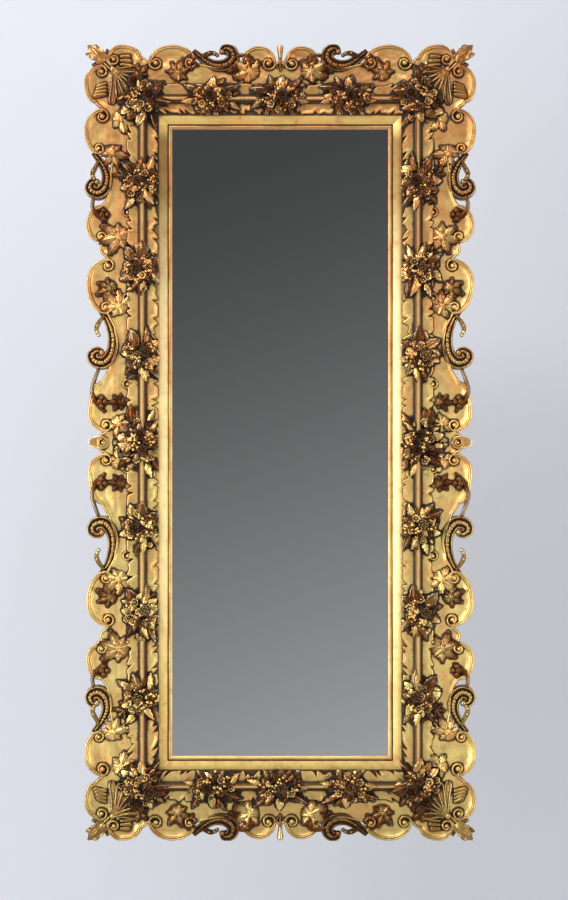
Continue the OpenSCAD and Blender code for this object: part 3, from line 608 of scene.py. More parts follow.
def petal():
    """Cupped petal one unit long."""
    u, v = blade(6, 5)
    wide = np.sin(math.pi * (0.1 + 0.78 * u)) ** 0.7
    z = 0.34 * u ** 1.6 + 0.2 * v ** 2 * u - 0.26 * np.clip(u - 0.72, 0, 1)
    return sheet(np.stack([u, 0.46 * wide * v, z], -1), 0.09)


# Nodes

MATH, RANGE, MIX = "ShaderNodeMath", "ShaderNodeMapRange", "ShaderNodeMix"
NOISE, BUMP = "ShaderNodeTexNoise", "ShaderNodeBump"
SMOOTH = {"interpolation_type": "SMOOTHSTEP"}
RGBA = {"data_type": "RGBA"}


def socket(sockets, key):
    """One of a node's sockets, by its number, its identifier or its name."""
    if isinstance(key, int):
        return sockets[key]
    return next((s for s in sockets if s.identifier == key), sockets.get(key))


def feed(node, inputs):
    """Sets a node's inputs, by name or in order, to values or links them to other nodes' outputs."""
    for key, value in inputs.items() if isinstance(inputs, dict) else enumerate(inputs):
        if isinstance(value, bpy.types.NodeSocket):
            node.id_data.links.new(value, socket(node.inputs, key))
        else:
            socket(node.inputs, key).default_value = value


def add(tree, kind, inputs=(), out=None, **settings):
    """Adds a node with its settings and inputs, and gives back one of its outputs or the node itself."""
    node = tree.nodes.new(kind)
    for key, value in settings.items():
        setattr(node, key, value)
    feed(node, inputs)
    return node if out is None else socket(node.outputs, out)


def cleared(owner):
    """Empty node tree of a material or a world."""
    owner.use_nodes = True
    owner.node_tree.nodes.clear()
    return owner.node_tree


def material(name):
    """Material with its tree, its shader and the object's coordinates."""
    made = bpy.data.materials.new(name)
    tree = cleared(made)
    shader = add(tree, "ShaderNodeBsdfPrincipled")
    add(tree, "ShaderNodeOutputMaterial", {"Surface": shader.outputs["BSDF"]})
    return made, tree, shader, add(tree, "ShaderNodeTexCoord", (), "Object")


# Patterns that materials share


def linear(code):
    """sRGB hex to linear colour."""
    c = [int(code[i:i + 2], 16) / 255 for i in (1, 3, 5)]
    return (*[x / 12.92 if x <= 0.04045 else ((x + 0.055) / 1.055) ** 2.4 for x in c], 1)


def layered(tree, colour, layers):
    """A colour with others laid over it, each by its own share."""
    for share, over in layers:
        colour = add(tree, MIX, {"Factor_Float": share, "A_Color": colour, "B_Color": over},
                     "Result_Color", **RGBA)
    return colour


def sum_of_steps(tree, *steps):
    """Sum of soft steps: a value, where the step begins and ends, and what it gives before and after."""
    total = 0.0
    for step_inputs in steps:
        part = add(tree, RANGE, step_inputs, "Result", **SMOOTH)
        total = add(tree, MATH, (total, part), "Value", operation="ADD")
    return total


def outward(tree, where):
    """Distance outward from the edge of the mirror that shows, in metres, the same on all four rails."""
    place = add(tree, "ShaderNodeSeparateXYZ", (where,))
    past = []
    for axis, half in (("X", half_w), ("Z", half_h)):
        far = add(tree, MATH, (place.outputs[axis],), "Value", operation="ABSOLUTE")
        past.append(add(tree, MATH, (far, half * MM), "Value", operation="SUBTRACT"))
    return add(tree, MATH, past, "Value", operation="MAXIMUM")


# Gilding

# The darkest colour is brown toner, which also stands in as painted shade in the recesses
GOLD, RED_GOLD, BOLE, TONER_AND_SHADE = linear("#f9dc8a"), linear("#f0ae6c"), linear("#a0532c"), linear("#2c190b")
# PALE is a painted highlight, laid on the raised places of the gilding
BRONZE, COPPER, PALE = linear("#66401b"), linear("#5c311e"), linear("#fff0c4")
# How many mm across, detail and roughness. Real grit is finer, and is drawn as coarse as it needs to show.
gold_grain = {"cloud": (62, 3, 0.5), "patch": (26, 4, 0.6), "grit": (3.2, 3, 0.65), "smear": (21, 4, 0.6)}
leaf_square, lap_w = 80, 0.9


def gold_layers(tree, where, tint, tone, grain, red):
    """Gold that is redder in clouds and higher up, and bronze where it is toned and towards both ends, which
    is painted shade that leaves mid height brightest.
    """
    height = add(tree, "ShaderNodeSeparateXYZ", (where,), "Z")
    warm = sum_of_steps(tree, (height, -0.4, 0.9, 0, 0.6 * red),
                        (grain["cloud"], 0.36, 0.64, -0.25, 0.4 * red))
    warm = add(tree, MATH, (tint, 0.3, warm), "Value", operation="MULTIPLY_ADD")
    # Bronze towards the top and the foot: painted shade, so that mid height is the most lit
    ends = sum_of_steps(tree, (height, 0.25, 0.9, 0, 0.3), (height, -0.6, -0.9, 0, 0.36))
    tone = add(tree, MATH, (tone, ends), "Value", operation="ADD", use_clamp=True)
    return [(warm, RED_GOLD), (tone, layered(tree, BRONZE, [(tint, COPPER)]))]


def wear_layers(tree, where, grain, laps):
    """Dull smears, bole at worn patches and, on flat work, along the laps between squares of leaf."""
    dull = add(tree, RANGE, (grain["smear"], 0.5, 0.75, 0, 0.3), "Result", **SMOOTH)
    patchy = add(tree, RANGE, (grain["patch"], 0.56, 0.7, 0, 0.62), "Result", **SMOOTH)
    gritty = add(tree, RANGE, (grain["grit"], 0.4, 0.62, 0, 1), "Result", **SMOOTH)
    worn = add(tree, MATH, (patchy, gritty), "Value", operation="MULTIPLY")
    layers = [(dull, BRONZE), (worn, BOLE)]
    if laps:
        facing = {"Vector": where, "Rotation": (math.radians(90), 0, 0.02)}
        seam = add(tree, "ShaderNodeTexBrick", {
            "Vector": add(tree, "ShaderNodeMapping", facing, "Vector"), "Scale": 1.0,
            "Mortar Size": lap_w * MM, "Mortar Smooth": 0.6,
            "Brick Width": leaf_square * MM, "Row Height": leaf_square * MM}, "Fac")
        layers.append((add(tree, MATH, (seam, 0.22), "Value", operation="MULTIPLY"), BOLE))
    return layers


def gilding(name, roughness, rules=None, laps=False, relief=1.0, red=1.0, toning=(0.57, 0.86)):
    """Water gilding: gold leaf laid in squares over red bole on carved gesso, burnished and toned.
    It shines softly, with bole at rubbed places, a painted highlight of pale gold on raised places, and
    brown toner in the recesses that also serves as painted shade."""
    made, tree, shader, where = material(name)
    # Toner and shading (a painted highlight where low, toner and painted shade where high), tint and tone
    # are the carving's own attributes, or a number or a rule of the place
    toner_and_shading, tint, tone = (
        add(tree, "ShaderNodeAttribute", (), "Fac", attribute_name=label) if rules is None
        else rules[label](tree, where) if callable(rules[label]) else rules[label]
        for label in ("toner_and_shading", "tint", "tone"))
    grain = {label: add(tree, NOISE, {"Vector": where, "Scale": 1 / (size * MM), "Detail": detail,
                                      "Roughness": rough}, "Fac")
             for label, (size, detail, rough) in gold_grain.items()}
    # Pale gold on raised places: a painted highlight
    rubbed = add(tree, RANGE, (toner_and_shading, 0.44, 0.2, 0, 0.4), "Result", **SMOOTH)
    gritty = add(tree, MATH, (grain["grit"], 0.12, -0.06), "Value", operation="MULTIPLY_ADD")
    uneven = add(tree, MATH, (toner_and_shading, gritty), "Value", operation="ADD")
    # Toner in deep places, duller and less metallic, is also painted shade there
    toned = add(tree, RANGE, (uneven, *toning, 0, 1), "Result", **SMOOTH)
    layers = gold_layers(tree, where, tint, tone, grain, red) + wear_layers(tree, where, grain, laps)
    shader.inputs["Base Color"].default_value = GOLD
    rough = add(tree, RANGE, (grain["patch"], 0.3, 0.7, roughness - 0.05, roughness + 0.08),
                "Result", **SMOOTH)
    broad = add(tree, BUMP, {"Height": grain["patch"], "Strength": 0.5 * relief, "Distance": 1.6 * MM},
                "Normal")
    feed(shader, {
        "Base Color": layered(tree, GOLD, layers + [(rubbed, PALE), (toned, TONER_AND_SHADE)]),
        "Metallic": add(tree, MATH, (toned, -0.85, 1.0), "Value", operation="MULTIPLY_ADD"),
        "Roughness": add(tree, MATH, (toned, 0.25, rough), "Value", operation="MULTIPLY_ADD"),
        "Normal": add(tree, BUMP, {"Height": grain["grit"], "Strength": 0.3 * relief,
                                   "Distance": 0.5 * MM, "Normal": broad}, "Normal")})
    return made


def off_crest(tree, where):
    """Distance from the rod's crest line, in metres."""
    aside = add(tree, MATH, (outward(tree, where), rod_d * MM), "Value", operation="SUBTRACT")
    return add(tree, MATH, (aside,), "Value", operation="ABSOLUTE")


def rod_patina(tree, where):
    """Painted highlight along the crest of the half-round rod, and toner with painted shade along both feet.
    """
    flank = off_crest(tree, where), 0.5 * MM, (rod_r - 2) * MM, 0.3, 0.9
    return add(tree, RANGE, flank, "Result", **SMOOTH)


def rod_highlight_and_shade(tree, where):
    """Bright along its crest and bronze on its flanks: painted highlight and painted shade across the round.
    """
    flank = off_crest(tree, where), 1.0 * MM, 4.5 * MM, 0.1, 1.0
    return add(tree, RANGE, flank, "Result", **SMOOTH)


def band_patina(tree, where):
    """Toner and painted shade in the groove beside the slip and under the edge of the leaf band, and a
    painted highlight along the band that is strongest at mid height and fades towards the ends.
    """
    d = outward(tree, where)
    height = add(tree, "ShaderNodeSeparateXYZ", (where,), "Z")
    high = add(tree, MATH, (height,), "Value", operation="ABSOLUTE")
    return sum_of_steps(tree, (d, (slip_w + 2.2) * MM, (slip_w + 0.4) * MM, 0, 0.5),
                        (d, (leaf_in - 3) * MM, (leaf_in + 1) * MM, 0, 0.4), (high, 0.2, 0.65, 0.2, 0.42))


def band_highlight_and_shade(tree, where):
    """The plain band is palest at mid height, as a painted highlight, and browner up the sides and towards
    the foot, as painted shade.
    """
    height = add(tree, "ShaderNodeSeparateXYZ", (where,), "Z")
    return sum_of_steps(tree, (height, 0.0, 0.6, 0.1, 0.58), (height, 0.68, 0.72, 0, -0.58),
                        (height, -0.1, -0.6, 0, 0.2), (height, -0.66, -0.72, 0, 0.05))


def slip_patina(tree, where):
    """Toner in the quirk at the slip's outer edge, dark there also as painted shade."""
    quirk = outward(tree, where), (slip_w - 1.6) * MM, (slip_w - 0.4) * MM, 0.46, 0.9
    return add(tree, RANGE, quirk, "Result", **SMOOTH)


# Wood, glass, metal, felt and cork


def wood(name, pale, dark, grain_mm, roughness, along_x=False):
    """Planed softwood: straight grain that runs with the board, darker in the late wood."""
    made, tree, shader, where = material(name)
    stretch = (0.018, 1, 1) if along_x else (1, 1, 0.018)
    drawn = add(tree, "ShaderNodeMapping", {"Vector": where, "Scale": stretch}, "Vector")
    grain = add(tree, NOISE, {"Vector": drawn, "Scale": 1 / (grain_mm * MM), "Detail": 5,
                              "Roughness": 0.6}, "Fac")
    cloud = add(tree, NOISE, {"Vector": where, "Scale": 1 / (160 * MM), "Detail": 3}, "Fac")
    late = add(tree, RANGE, (grain, 0.3, 0.75, 0, 1), "Result", **SMOOTH)
    age = add(tree, RANGE, (cloud, 0.42, 0.8, 0, 0.45), "Result", **SMOOTH)
    feed(shader, {
        "Base Color": layered(tree, linear(pale), [(late, linear(dark)), (age, linear("#5b4029"))]),
        "Roughness": roughness,
        "Normal": add(tree, BUMP, {"Height": grain, "Strength": 0.4, "Distance": 0.4 * MM}, "Normal")})
    return made


def silvered_glass(name):
    """Silvered plate: a clean mirror with a faint grey cast."""
    made, tree, shader, where = material(name)
    waves = add(tree, NOISE, {"Vector": where, "Scale": 1 / (400 * MM), "Detail": 1}, "Fac")
    feed(shader, {
        "Base Color": linear("#e9ebec"), "Metallic": 1, "Roughness": 0.015,
        "Normal": add(tree, BUMP, {"Height": waves, "Strength": 0.02, "Distance": MM}, "Normal")})
    return made


def metal(name, colour, roughness, wear="#6d6a64"):
    """Zinc-plated or iron fittings: a dull shine with handling marks."""
    made, tree, shader, where = material(name)
    marks = add(tree, NOISE, {"Vector": where, "Scale": 1 / (4 * MM), "Detail": 4,
                              "Roughness": 0.65}, "Fac")
    handled = add(tree, RANGE, (marks, 0.5, 0.75, 0, 0.6), "Result", **SMOOTH)
    rough = add(tree, RANGE, (marks, 0.3, 0.7, roughness - 0.08, roughness + 0.12), "Result", **SMOOTH)
    feed(shader, {
        "Base Color": layered(tree, linear(colour), [(handled, linear(wear))]), "Metallic": 1,
        "Roughness": rough,
        "Normal": add(tree, BUMP, {"Height": marks, "Strength": 0.25, "Distance": 0.2 * MM}, "Normal")})
    return made


def soft_stuff(name, pale, dark, grain_mm, roughness=0.95):
    """Felt or cork: matt, flecked and slightly rough."""
    made, tree, shader, where = material(name)
    fleck = add(tree, NOISE, {"Vector": where, "Scale": 1 / (grain_mm * MM), "Detail": 4,
                              "Roughness": 0.7}, "Fac")
    share = add(tree, RANGE, (fleck, 0.4, 0.62, 0, 1), "Result", **SMOOTH)
    feed(shader, {
        "Base Color": layered(tree, linear(pale), [(share, linear(dark))]), "Roughness": roughness,
        "Normal": add(tree, BUMP, {"Height": fleck, "Strength": 0.6, "Distance": 0.5 * MM}, "Normal")})
    return made


# Flat gilded ground: a broad soft shine, with lap lines and a thin dark line of toner and painted shade
# round what is carved on it
ground_gold = gilding("water_gilding_on_carved_gesso", 0.34, laps=True, toning=(0.63, 0.98))
# High carving: brighter on its tops, a painted highlight, and dark in its folds, toner and painted shade
ornament_gold = gilding("toned_gilding_on_carving", 0.25, toning=(0.58, 0.9))
# Burnished rod: a painted highlight along its crest between brown flanks of painted shade, with toner at
# their feet
rod_gold = gilding("burnished_gilding_on_rod", 0.3,
                   {"toner_and_shading": rod_patina, "tint": 0.2, "tone": rod_highlight_and_shade}, relief=0.5)
# Plain sight band: smooth and pale, with a painted highlight at mid height
band_gold = gilding("burnished_gilding_on_sight_band", 0.55,
                    {"toner_and_shading": band_patina, "tint": 0.0, "tone": band_highlight_and_shade}, laps=True, relief=0.3, red=0.5)
# Slip next to the glass: red-toned, as the bole shows through
slip_gold = gilding("gilding_rubbed_to_bole_on_slip", 0.4,
                    {"toner_and_shading": slip_patina, "tint": 1.0, "tone": 0.12}, relief=0.3)
# Old pine behind the frame, browner where it was sawn and left, paler in the pegs
pine_long = wood("aged_pine_stiles", "#b08a5c", "#8a6238", 5, 0.75)
pine_cross = wood("aged_pine_rails", "#b08a5c", "#8a6238", 5, 0.75, along_x=True)
backboard = wood("sawn_pine_backboard", "#94704a", "#6a4a2b", 9, 0.85)
middle_board = wood("sawn_pine_middle_board", "#866341", "#5f4226", 7, 0.85)
peg_wood = wood("cleft_pegs", "#c09a68", "#9b7546", 3, 0.7)
mirror_glass = silvered_glass("silvered_glass")
# Fittings: pale grey zinc on the hangers, near-black iron in the nails
zinc = metal("zinc_plated_steel", "#c4c6c6", 0.35)
iron = metal("dark_iron", "#4a4440", 0.55, "#2c2622")
# Dark felt behind the plate and speckled cork on the wall pads
felt = soft_stuff("wool_felt", "#4b4844", "#35322f", 1.5)
cork = soft_stuff("pressed_cork", "#a47a4e", "#5f4126", 2.2)

# Geometry Nodes tree that puts a carving on every point of a mesh


def planting_tree():
    """Puts a carving on each point, turned and scaled as the point says, and makes it real and gilded."""
    tree = bpy.data.node_groups.new("plant_carvings", "GeometryNodeTree")
    for name, kind in (("Points", "NodeSocketGeometry"), ("Carving", "NodeSocketObject"),
                       ("Size", "NodeSocketFloat"), ("Gilding", "NodeSocketMaterial")):
        tree.interface.new_socket(name, in_out="INPUT", socket_type=kind)
    tree.interface.new_socket("Carvings", in_out="OUTPUT", socket_type="NodeSocketGeometry")
    start = add(tree, "NodeGroupInput").outputs
    carving = add(tree, "GeometryNodeObjectInfo", {"Object": start["Carving"]}, "Geometry")
    turn, size = (add(tree, "GeometryNodeInputNamedAttribute", {"Name": label}, "Attribute",
                      data_type="FLOAT_VECTOR") for label in ("turn", "size"))
    planted = add(tree, "GeometryNodeInstanceOnPoints", {
        "Points": start["Points"], "Instance": carving,
        "Rotation": add(tree, "FunctionNodeEulerToRotation", {"Euler": turn}, "Rotation"),
        "Scale": add(tree, "ShaderNodeVectorMath", {0: size, "Scale": start["Size"]}, "Vector",
                     operation="SCALE")}, "Instances")
    real = add(tree, "GeometryNodeRealizeInstances", {"Geometry": planted}, "Geometry")
    done = add(tree, "GeometryNodeSetMaterial",
               {"Geometry": real, "Material": start["Gilding"]}, "Geometry")
    add(tree, "NodeGroupOutput", {"Carvings": done})
    return tree


PLANTING = planting_tree()
SCRATCH = []


def prototype(name, shells):
    """Object for the tree to plant, kept in the front view's own units."""
    whole = Carving()
    for shell in shells:
        whole.add(shell)
    v, q, t, _, _ = whole.arrays()
    mesh = bpy.data.meshes.new(name)
    mesh.from_pydata(v.tolist(), [], q.tolist() + t.tolist())
    SCRATCH.append(shown(name, mesh))
    return SCRATCH[-1]


def read(items, field, kind, width=1):
    """One field of a mesh's items."""
    values = np.zeros(len(items) * width, kind)
    items.foreach_get(field, values)
    return values


def plant(carving, spots, size=1.0):
    """Plants a carving at spots of (place, turn in degrees, scale, tint, tone) and gives back the shell,
    its tints and its tones."""
    mesh = bpy.data.meshes.new("spots")
    mesh.from_pydata([s[0] for s in spots], [], [])
    store(mesh, "turn", np.radians([s[1] for s in spots]), "FLOAT_VECTOR", "vector")
    store(mesh, "size", [np.broadcast_to(s[2], 3) for s in spots], "FLOAT_VECTOR", "vector")
    store(mesh, "tint", [s[3] for s in spots])
    store(mesh, "tone", [s[4] for s in spots])
    holder = shown("spots", mesh)
    modifier = holder.modifiers.new("planting", "NODES")
    modifier.node_group = PLANTING
    sockets = {i.name: i.identifier for i in PLANTING.interface.items_tree if i.in_out == "INPUT"}
    for label, value in (("Carving", carving), ("Size", size), ("Gilding", ornament_gold)):
        modifier[sockets[label]] = value
    bpy.context.view_layer.update()
    result = bpy.data.meshes.new_from_object(holder.evaluated_get(bpy.context.evaluated_depsgraph_get()))
    v = read(result.vertices, "co", np.float32, 3).reshape(-1, 3).astype(float)
    corners = read(result.loops, "vertex_index", np.int32)
    starts = read(result.polygons, "loop_start", np.int32)
    sides = read(result.polygons, "loop_total", np.int32)
    quads, triangles = (corners[starts[sides == k][:, None] + np.arange(k)] for k in (4, 3))
    tint, tone = (read(result.attributes[label].data, "value", np.float32) for label in ("tint", "tone"))
    bpy.data.objects.remove(holder)
    bpy.data.meshes.remove(mesh)
    bpy.data.meshes.remove(result)
    return (v, quads, triangles), tint, tone


def ring_of_petals(count, radius, lift, cup, start):
    """Spots for petals round a flower's middle: `cup` is how far they stand up, in degrees."""
    return [((0, 0, lift), (0, -cup, start + 360 * k / count), radius, 0, 0) for k in range(count)]


PETAL = prototype("petal", [petal()])
rose_petals = (ring_of_petals(5, 1.0, 0.0, -6, 0) + ring_of_petals(5, 0.82, 0.1, 18, 36)
               + ring_of_petals(4, 0.6, 0.18, 42, 10) + ring_of_petals(3, 0.42, 0.26, 62, 50))
flower_petals = ring_of_petals(5, 1.0, 0.0, 8, 0)
PROTOTYPES = {
    "leaf": prototype("leaf", [pointed_leaf()]),
    "broad": prototype("broad_leaf", [broad_leaf()]),
    "small": prototype("small_leaf", [pointed_leaf(7, 5)]),
    "rose": prototype("rose", [plant(PETAL, rose_petals)[0], bead((0, 0, 0.42), 0.2, 0.3, 8, 5)]),
    "flower": prototype("flower", [plant(PETAL, flower_petals)[0], bead((0, 0, 0.22), 0.27, 0.28, 8, 5)]),
    "berry": prototype("berry", [bead((0, 0, 0), 1, 1, 9, 5)]),
}

# Flower clusters, as offsets from the middle of the rod: x towards the mirror and y up.
# Leaf: base, angle, length, width and look. Flower or rose: place and radius.
# Bunch: middle, berries and spread. A look is a tint and a tone.

looks = {"pink": (0.95, 0.25), "gold": (0.15, 0.05), "brown": (0.45, 0.75), "dark": (0.6, 1.0)}
side_kinds = [
    {
        "leaf": [((18, -6), -80, 60, 0.8, "dark"), ((10, 14), 8, 26, 1.6, "dark"),
                 ((-8, 16), 99, 50, 1.0, "brown"), ((10, 18), 66, 44, 0.9, "gold"),
                 ((-20, 14), 134, 48, 1.0, "dark"), ((-26, -4), 196, 26, 1.2, "gold"),
                 ((-14, -22), 240, 36, 1.0, "gold"), ((2, -10), -70, 54, 0.95, "pink"),
                 ((-6, 0), -118, 26, 1.2, "pink")],
        "rose": [((-9, 6), 12)],
        "flower": [((-27, 12), 9), ((-31, -3), 8), ((-21, -13), 9), ((-18, 24), 8), ((5, 17), 9),
                   ((-7, -18), 8), ((15, -5), 8), ((-35, 14), 7)],
        "bunch": [((21, 4), 14, 12), ((-28, 4), 9, 11), ((2, -6), 8, 9), ((-10, 20), 6, 8)],
    },
    {
        "leaf": [((12, -14), -68, 50, 0.8, "dark"), ((-2, -14), -84, 46, 1.0, "gold"),
                 ((12, 6), 24, 26, 1.4, "brown"), ((4, 20), 84, 50, 0.9, "brown"),
                 ((-14, 20), 118, 46, 1.1, "dark"), ((-24, 6), 168, 30, 1.2, "pink"),
                 ((-18, -16), 222, 38, 0.9, "dark"), ((8, -4), -44, 34, 1.2, "pink"),
                 ((14, 20), 50, 30, 1.1, "gold")],
        "rose": [((6, 7), 12)],
        "flower": [((-24, 4), 10), ((-12, 22), 9), ((-18, -12), 9), ((22, -6), 8), ((-2, -12), 9),
                   ((-34, 10), 7), ((-30, -8), 8), ((-8, 6), 8)],
        "bunch": [((22, 14), 9, 9), ((-12, -4), 9, 9), ((12, -14), 8, 8), ((-26, 16), 8, 9)],
    },
    {
        "leaf": [((15, 2), -74, 58, 0.8, "brown"), ((4, -16), -96, 44, 1.0, "pink"),
                 ((16, 16), 30, 34, 1.3, "dark"), ((0, 20), 90, 46, 1.1, "dark"),
                 ((-18, 18), 140, 42, 1.1, "brown"), ((-26, -6), 204, 30, 1.1, "pink"),
                 ((-8, -20), 250, 38, 0.9, "dark"), ((6, 2), 60, 30, 1.2, "gold")],
        "rose": [((-14, 2), 13)],
        "flower": [((4, -8), 9), ((-30, 8), 9), ((-24, -12), 8), ((-8, 22), 9), ((18, 10), 9),
                   ((-36, -4), 7), ((24, -4), 7), ((-20, 26), 7)],
        "bunch": [((16, -4), 10, 10), ((-6, -16), 9, 9), ((8, 18), 8, 9), ((-30, 0), 6, 8)],
    },
]
centre_kind = {
    "leaf": [((4, -36), -76, 48, 1.0, "gold"), ((22, -26), -62, 44, 0.9, "dark"),
             ((-20, 34), 128, 44, 1.1, "dark"), ((12, 34), 64, 44, 1.0, "brown"),
             ((-26, -26), 218, 44, 1.0, "dark"), ((12, 20), 38, 34, 0.8, "pink"),
             ((-30, 8), 172, 30, 1.3, "pink"), ((12, -2), 10, 26, 1.5, "dark"),
             ((-8, 40), 100, 36, 1.0, "brown"), ((-30, -10), 190, 30, 1.2, "gold"),
             ((12, -14), -20, 26, 1.3, "brown")],
    "rose": [((-4, 16), 13), ((2, -12), 12)],
    "flower": [((-24, 24), 9), ((-26, 2), 9), ((-30, -14), 9), ((16, 28), 9), ((18, -22), 9),
               ((-12, -30), 9), ((-10, 36), 8), ((-20, 44), 7), ((20, 8), 9), ((-14, -44), 7)],
    "bunch": [((22, 2), 12, 11), ((-14, -4), 12, 12), ((8, -32), 9, 10), ((-16, 14), 9, 9),
              ((12, 12), 8, 9)],
}
head_kind = {
    "leaf": [((-14, -12), -122, 40, 1.0, "brown"), ((12, -14), -62, 36, 1.0, "dark"),
             ((-20, 14), 154, 50, 0.9, "dark"), ((18, 16), 34, 46, 0.9, "brown"),
             ((0, 20), 96, 34, 1.1, "gold"), ((-28, -4), 198, 40, 1.0, "pink"),
             ((26, -2), -14, 40, 1.0, "pink"), ((2, -16), -92, 28, 1.3, "dark"),
             ((-10, 22), 120, 34, 1.0, "brown")],
    "rose": [((2, 4), 12)],
    "flower": [((-18, 16), 9), ((18, 14), 9), ((-16, -12), 9), ((18, -10), 9), ((2, 24), 8), ((-32, 4), 8),
               ((34, 4), 8), ((-4, -20), 8), ((-28, 20), 7)],
    "bunch": [((4, -14), 10, 10), ((-10, 4), 9, 9), ((26, 4), 8, 9), ((-24, -6), 8, 8)],
}
corner_kind = {
    "leaf": [((20, -2), -22, 54, 0.8, "brown"), ((0, -26), -88, 38, 1.2, "pink"),
             ((16, -30), -64, 56, 0.75, "dark"), ((-26, -20), 222, 34, 1.2, "gold"),
             ((-4, 38), 96, 32, 1.2, "dark"), ((22, 20), 36, 34, 1.0, "brown"),
             ((-14, -26), 250, 34, 1.1, "brown"), ((4, 2), -40, 30, 1.2, "dark"),
             ((24, 8), 8, 34, 1.2, "dark")],
    "rose": [((13, 10), 16), ((-13, 34), 14)],
    "flower": [((-30, 8), 9), ((-41, -4), 9), ((-22, -10), 10), ((26, 26), 9), ((6, 32), 9), ((-4, -14), 9),
               ((28, -8), 8), ((12, -18), 9), ((-34, -14), 8), ((-22, -26), 8)],
    "bunch": [((-14, 12), 12, 10), ((12, -18), 9, 9), ((18, 26), 8, 9), ((-26, 0), 9, 10), ((2, 22), 7, 8)],
}


def cluster_spots(kind, centre, mirror, seed, foot, stretch):
    """Spots for the pieces of one cluster, which rises to its middle and varies a little as by hand."""
    rng = np.random.default_rng(seed)
    spots = {name: [] for name in PROTOTYPES}
    rise_h, rise_r, small_r, bloom_r = 22, 44, 35, 33

    def place(p, loose=1.8):
        """Where an offset comes to lie, a little astray."""
        p = (np.array(p, float) + rng.normal(0, loose, 2)) * stretch
        f = 1 - (p[0] / (rise_r * stretch[0])) ** 2 - (p[1] / (rise_r * stretch[1])) ** 2
        return centre[0] + mirror * p[0], centre[1] + foot * p[1], band_top + 1.5 + rise_h * np.clip(f, 0, 1)

    def leaf(sort, base, angle, length, wide, look, lift):
        """Adds a leaf's spot."""
        angle = foot * (angle + rng.normal(0, 12))
        angle = 180 - angle if mirror < 0 else angle
        x, y, z = place(base)
        turn = rng.normal(0, 14), rng.uniform(-4, 6), angle
        scale = length, mirror * foot * length * wide, length * 0.8
        tint, tone = (np.clip(shade + rng.normal(0, loose), 0, 1)
                      for shade, loose in zip(looks[look], (0.15, 0.12)))
        spots[sort].append(((x, y, z + lift), turn, scale, tint, tone))

    for base, angle, length, wide, look in kind["leaf"]:
        sort = "broad" if wide > 1.05 else "leaf"
        leaf(sort, base, angle, length * rng.uniform(0.72, 0.95), wide, look, 1)
    for _ in range(30):
        a, f = rng.uniform(0, 2 * math.pi), rng.uniform(0.2, 1)
        base = small_r * f * math.cos(a), small_r * f * math.sin(a)
        leaf("small", base, math.degrees(a) + rng.normal(0, 50), rng.uniform(12, 23), rng.uniform(0.9, 1.5),
             ("pink", "gold", "brown", "dark", "dark")[int(rng.integers(5))], 2.5)
    extra = []
    for f, a, r in rng.uniform((0.1, 0, 5), (1, 2 * math.pi, 7.5), (9, 3)):
        extra.append(((bloom_r * math.sqrt(f) * math.cos(a), bloom_r * math.sqrt(f) * math.sin(a)), r))
    for p, r in kind["rose"]:
        x, y, z = place(p)
        turn = rng.normal(0, 9), rng.normal(0, 9), rng.uniform(0, 360)
        spots["rose"].append(((x, y, z + 3), turn, (r, r, r * 1.1), rng.uniform(0.3, 0.8),
                              rng.uniform(0.5, 1.0)))
    for p, r in kind["flower"] + extra:
        x, y, z = place(p)
        turn = 0.6 * (centre[1] - y), 0.6 * (x - centre[0]), rng.uniform(0, 72)
        spots["flower"].append(((x, y, z + 2), turn, (r, r, r * 1.3), rng.uniform(0.1, 0.9),
                                rng.choice((0.05, 0.3, 0.8, 1.0))))
    for middle, count, spread in kind["bunch"]:
        for k in range(count + 3):
            a, f = 2.4 * k, math.sqrt((k + 0.5) / (count + 3))
            p = middle[0] + spread * f * math.cos(a), middle[1] + spread * f * math.sin(a)
            x, y, z = place(p, 0.8)
            spots["berry"].append(((x, y, z + 3 + 4 * (1 - f)), (0, 0, 0), rng.uniform(2.6, 4.4),
                                   rng.uniform(0.1, 0.7), rng.choice((0.0, 0.2, 0.9, 1.0))))
    return spots


def clear_of_mirror(v):
    """Bends back what would reach over the plain sight band."""
    d = np.abs(v[:, :2]) - (half_w, half_h)
    axis = d.argmax(1)
    row = np.arange(len(v))
    over = np.clip(leaf_in - d[row, axis], 0, None) * 0.75
    v[row, axis] += np.sign(v[row, axis]) * over


def cluster_core(centre, seed, stretch):
    """Rough core that carries the flowers and bridges the rod."""
    core_r, core_h = 27, 17
    a = np.linspace(0, 2 * math.pi, 40, endpoint=False)
    f = np.linspace(0.08, 1, 8)[:, None]
    rng = np.random.default_rng(seed)
    lumps = 1 + 0.09 * np.sin(5 * a + rng.uniform(0, 6)) + 0.06 * np.sin(9 * a + rng.uniform(0, 6))
    x = centre[0] + core_r * stretch[0] * lumps * f * np.cos(a)
    y = centre[1] + core_r * stretch[1] * lumps * f * np.sin(a)
    z = band_top + 1 + core_h * (1 - f ** 3) + 1.5 * np.sin(x / 3) * np.sin(y / 3)
    return disc(np.stack([x, y, np.clip(z, band_top + 0.6, None)], -1), 0.4)


def cluster(name, kind, centre, mirror, seed, foot, stretch):
    """One cluster: its leaves, flowers and berries, its core, and a curled shoot on the ground beside it."""
    carving = carved(name)
    spots = cluster_spots(kind, centre, mirror, seed, foot, np.array(stretch))
    for sort, one in PROTOTYPES.items():
        if spots[sort]:
            shell, tint, tone = plant(one, spots[sort])
            shell[0][:, 2] = np.clip(shell[0][:, 2], ground_t + 1, front_t)
            clear_of_mirror(shell[0])
            carving.add(shell, tint, tone)
    # The core is fully toned dark: painted shade in the gaps between the flowers
    carving.add(cluster_core(centre, seed, stretch), 0.5, 1.0)
    if abs(centre[0]) > half_w and abs(centre[1]) < half_h:
        c = np.array(centre) + (-34 * mirror, -48 * stretch[1])
        curl = volute(c, 11, 90, mirror, turn=360)
        carving.add(sweep(curl, ground_t - 0.5, 4.2, 6.5, half_round), 0.3, 0.25)
        carving.add(bead((*c, ground_t + 3), 4.6, 6), 0.3, 0.2)


# Leaf bands under the rods


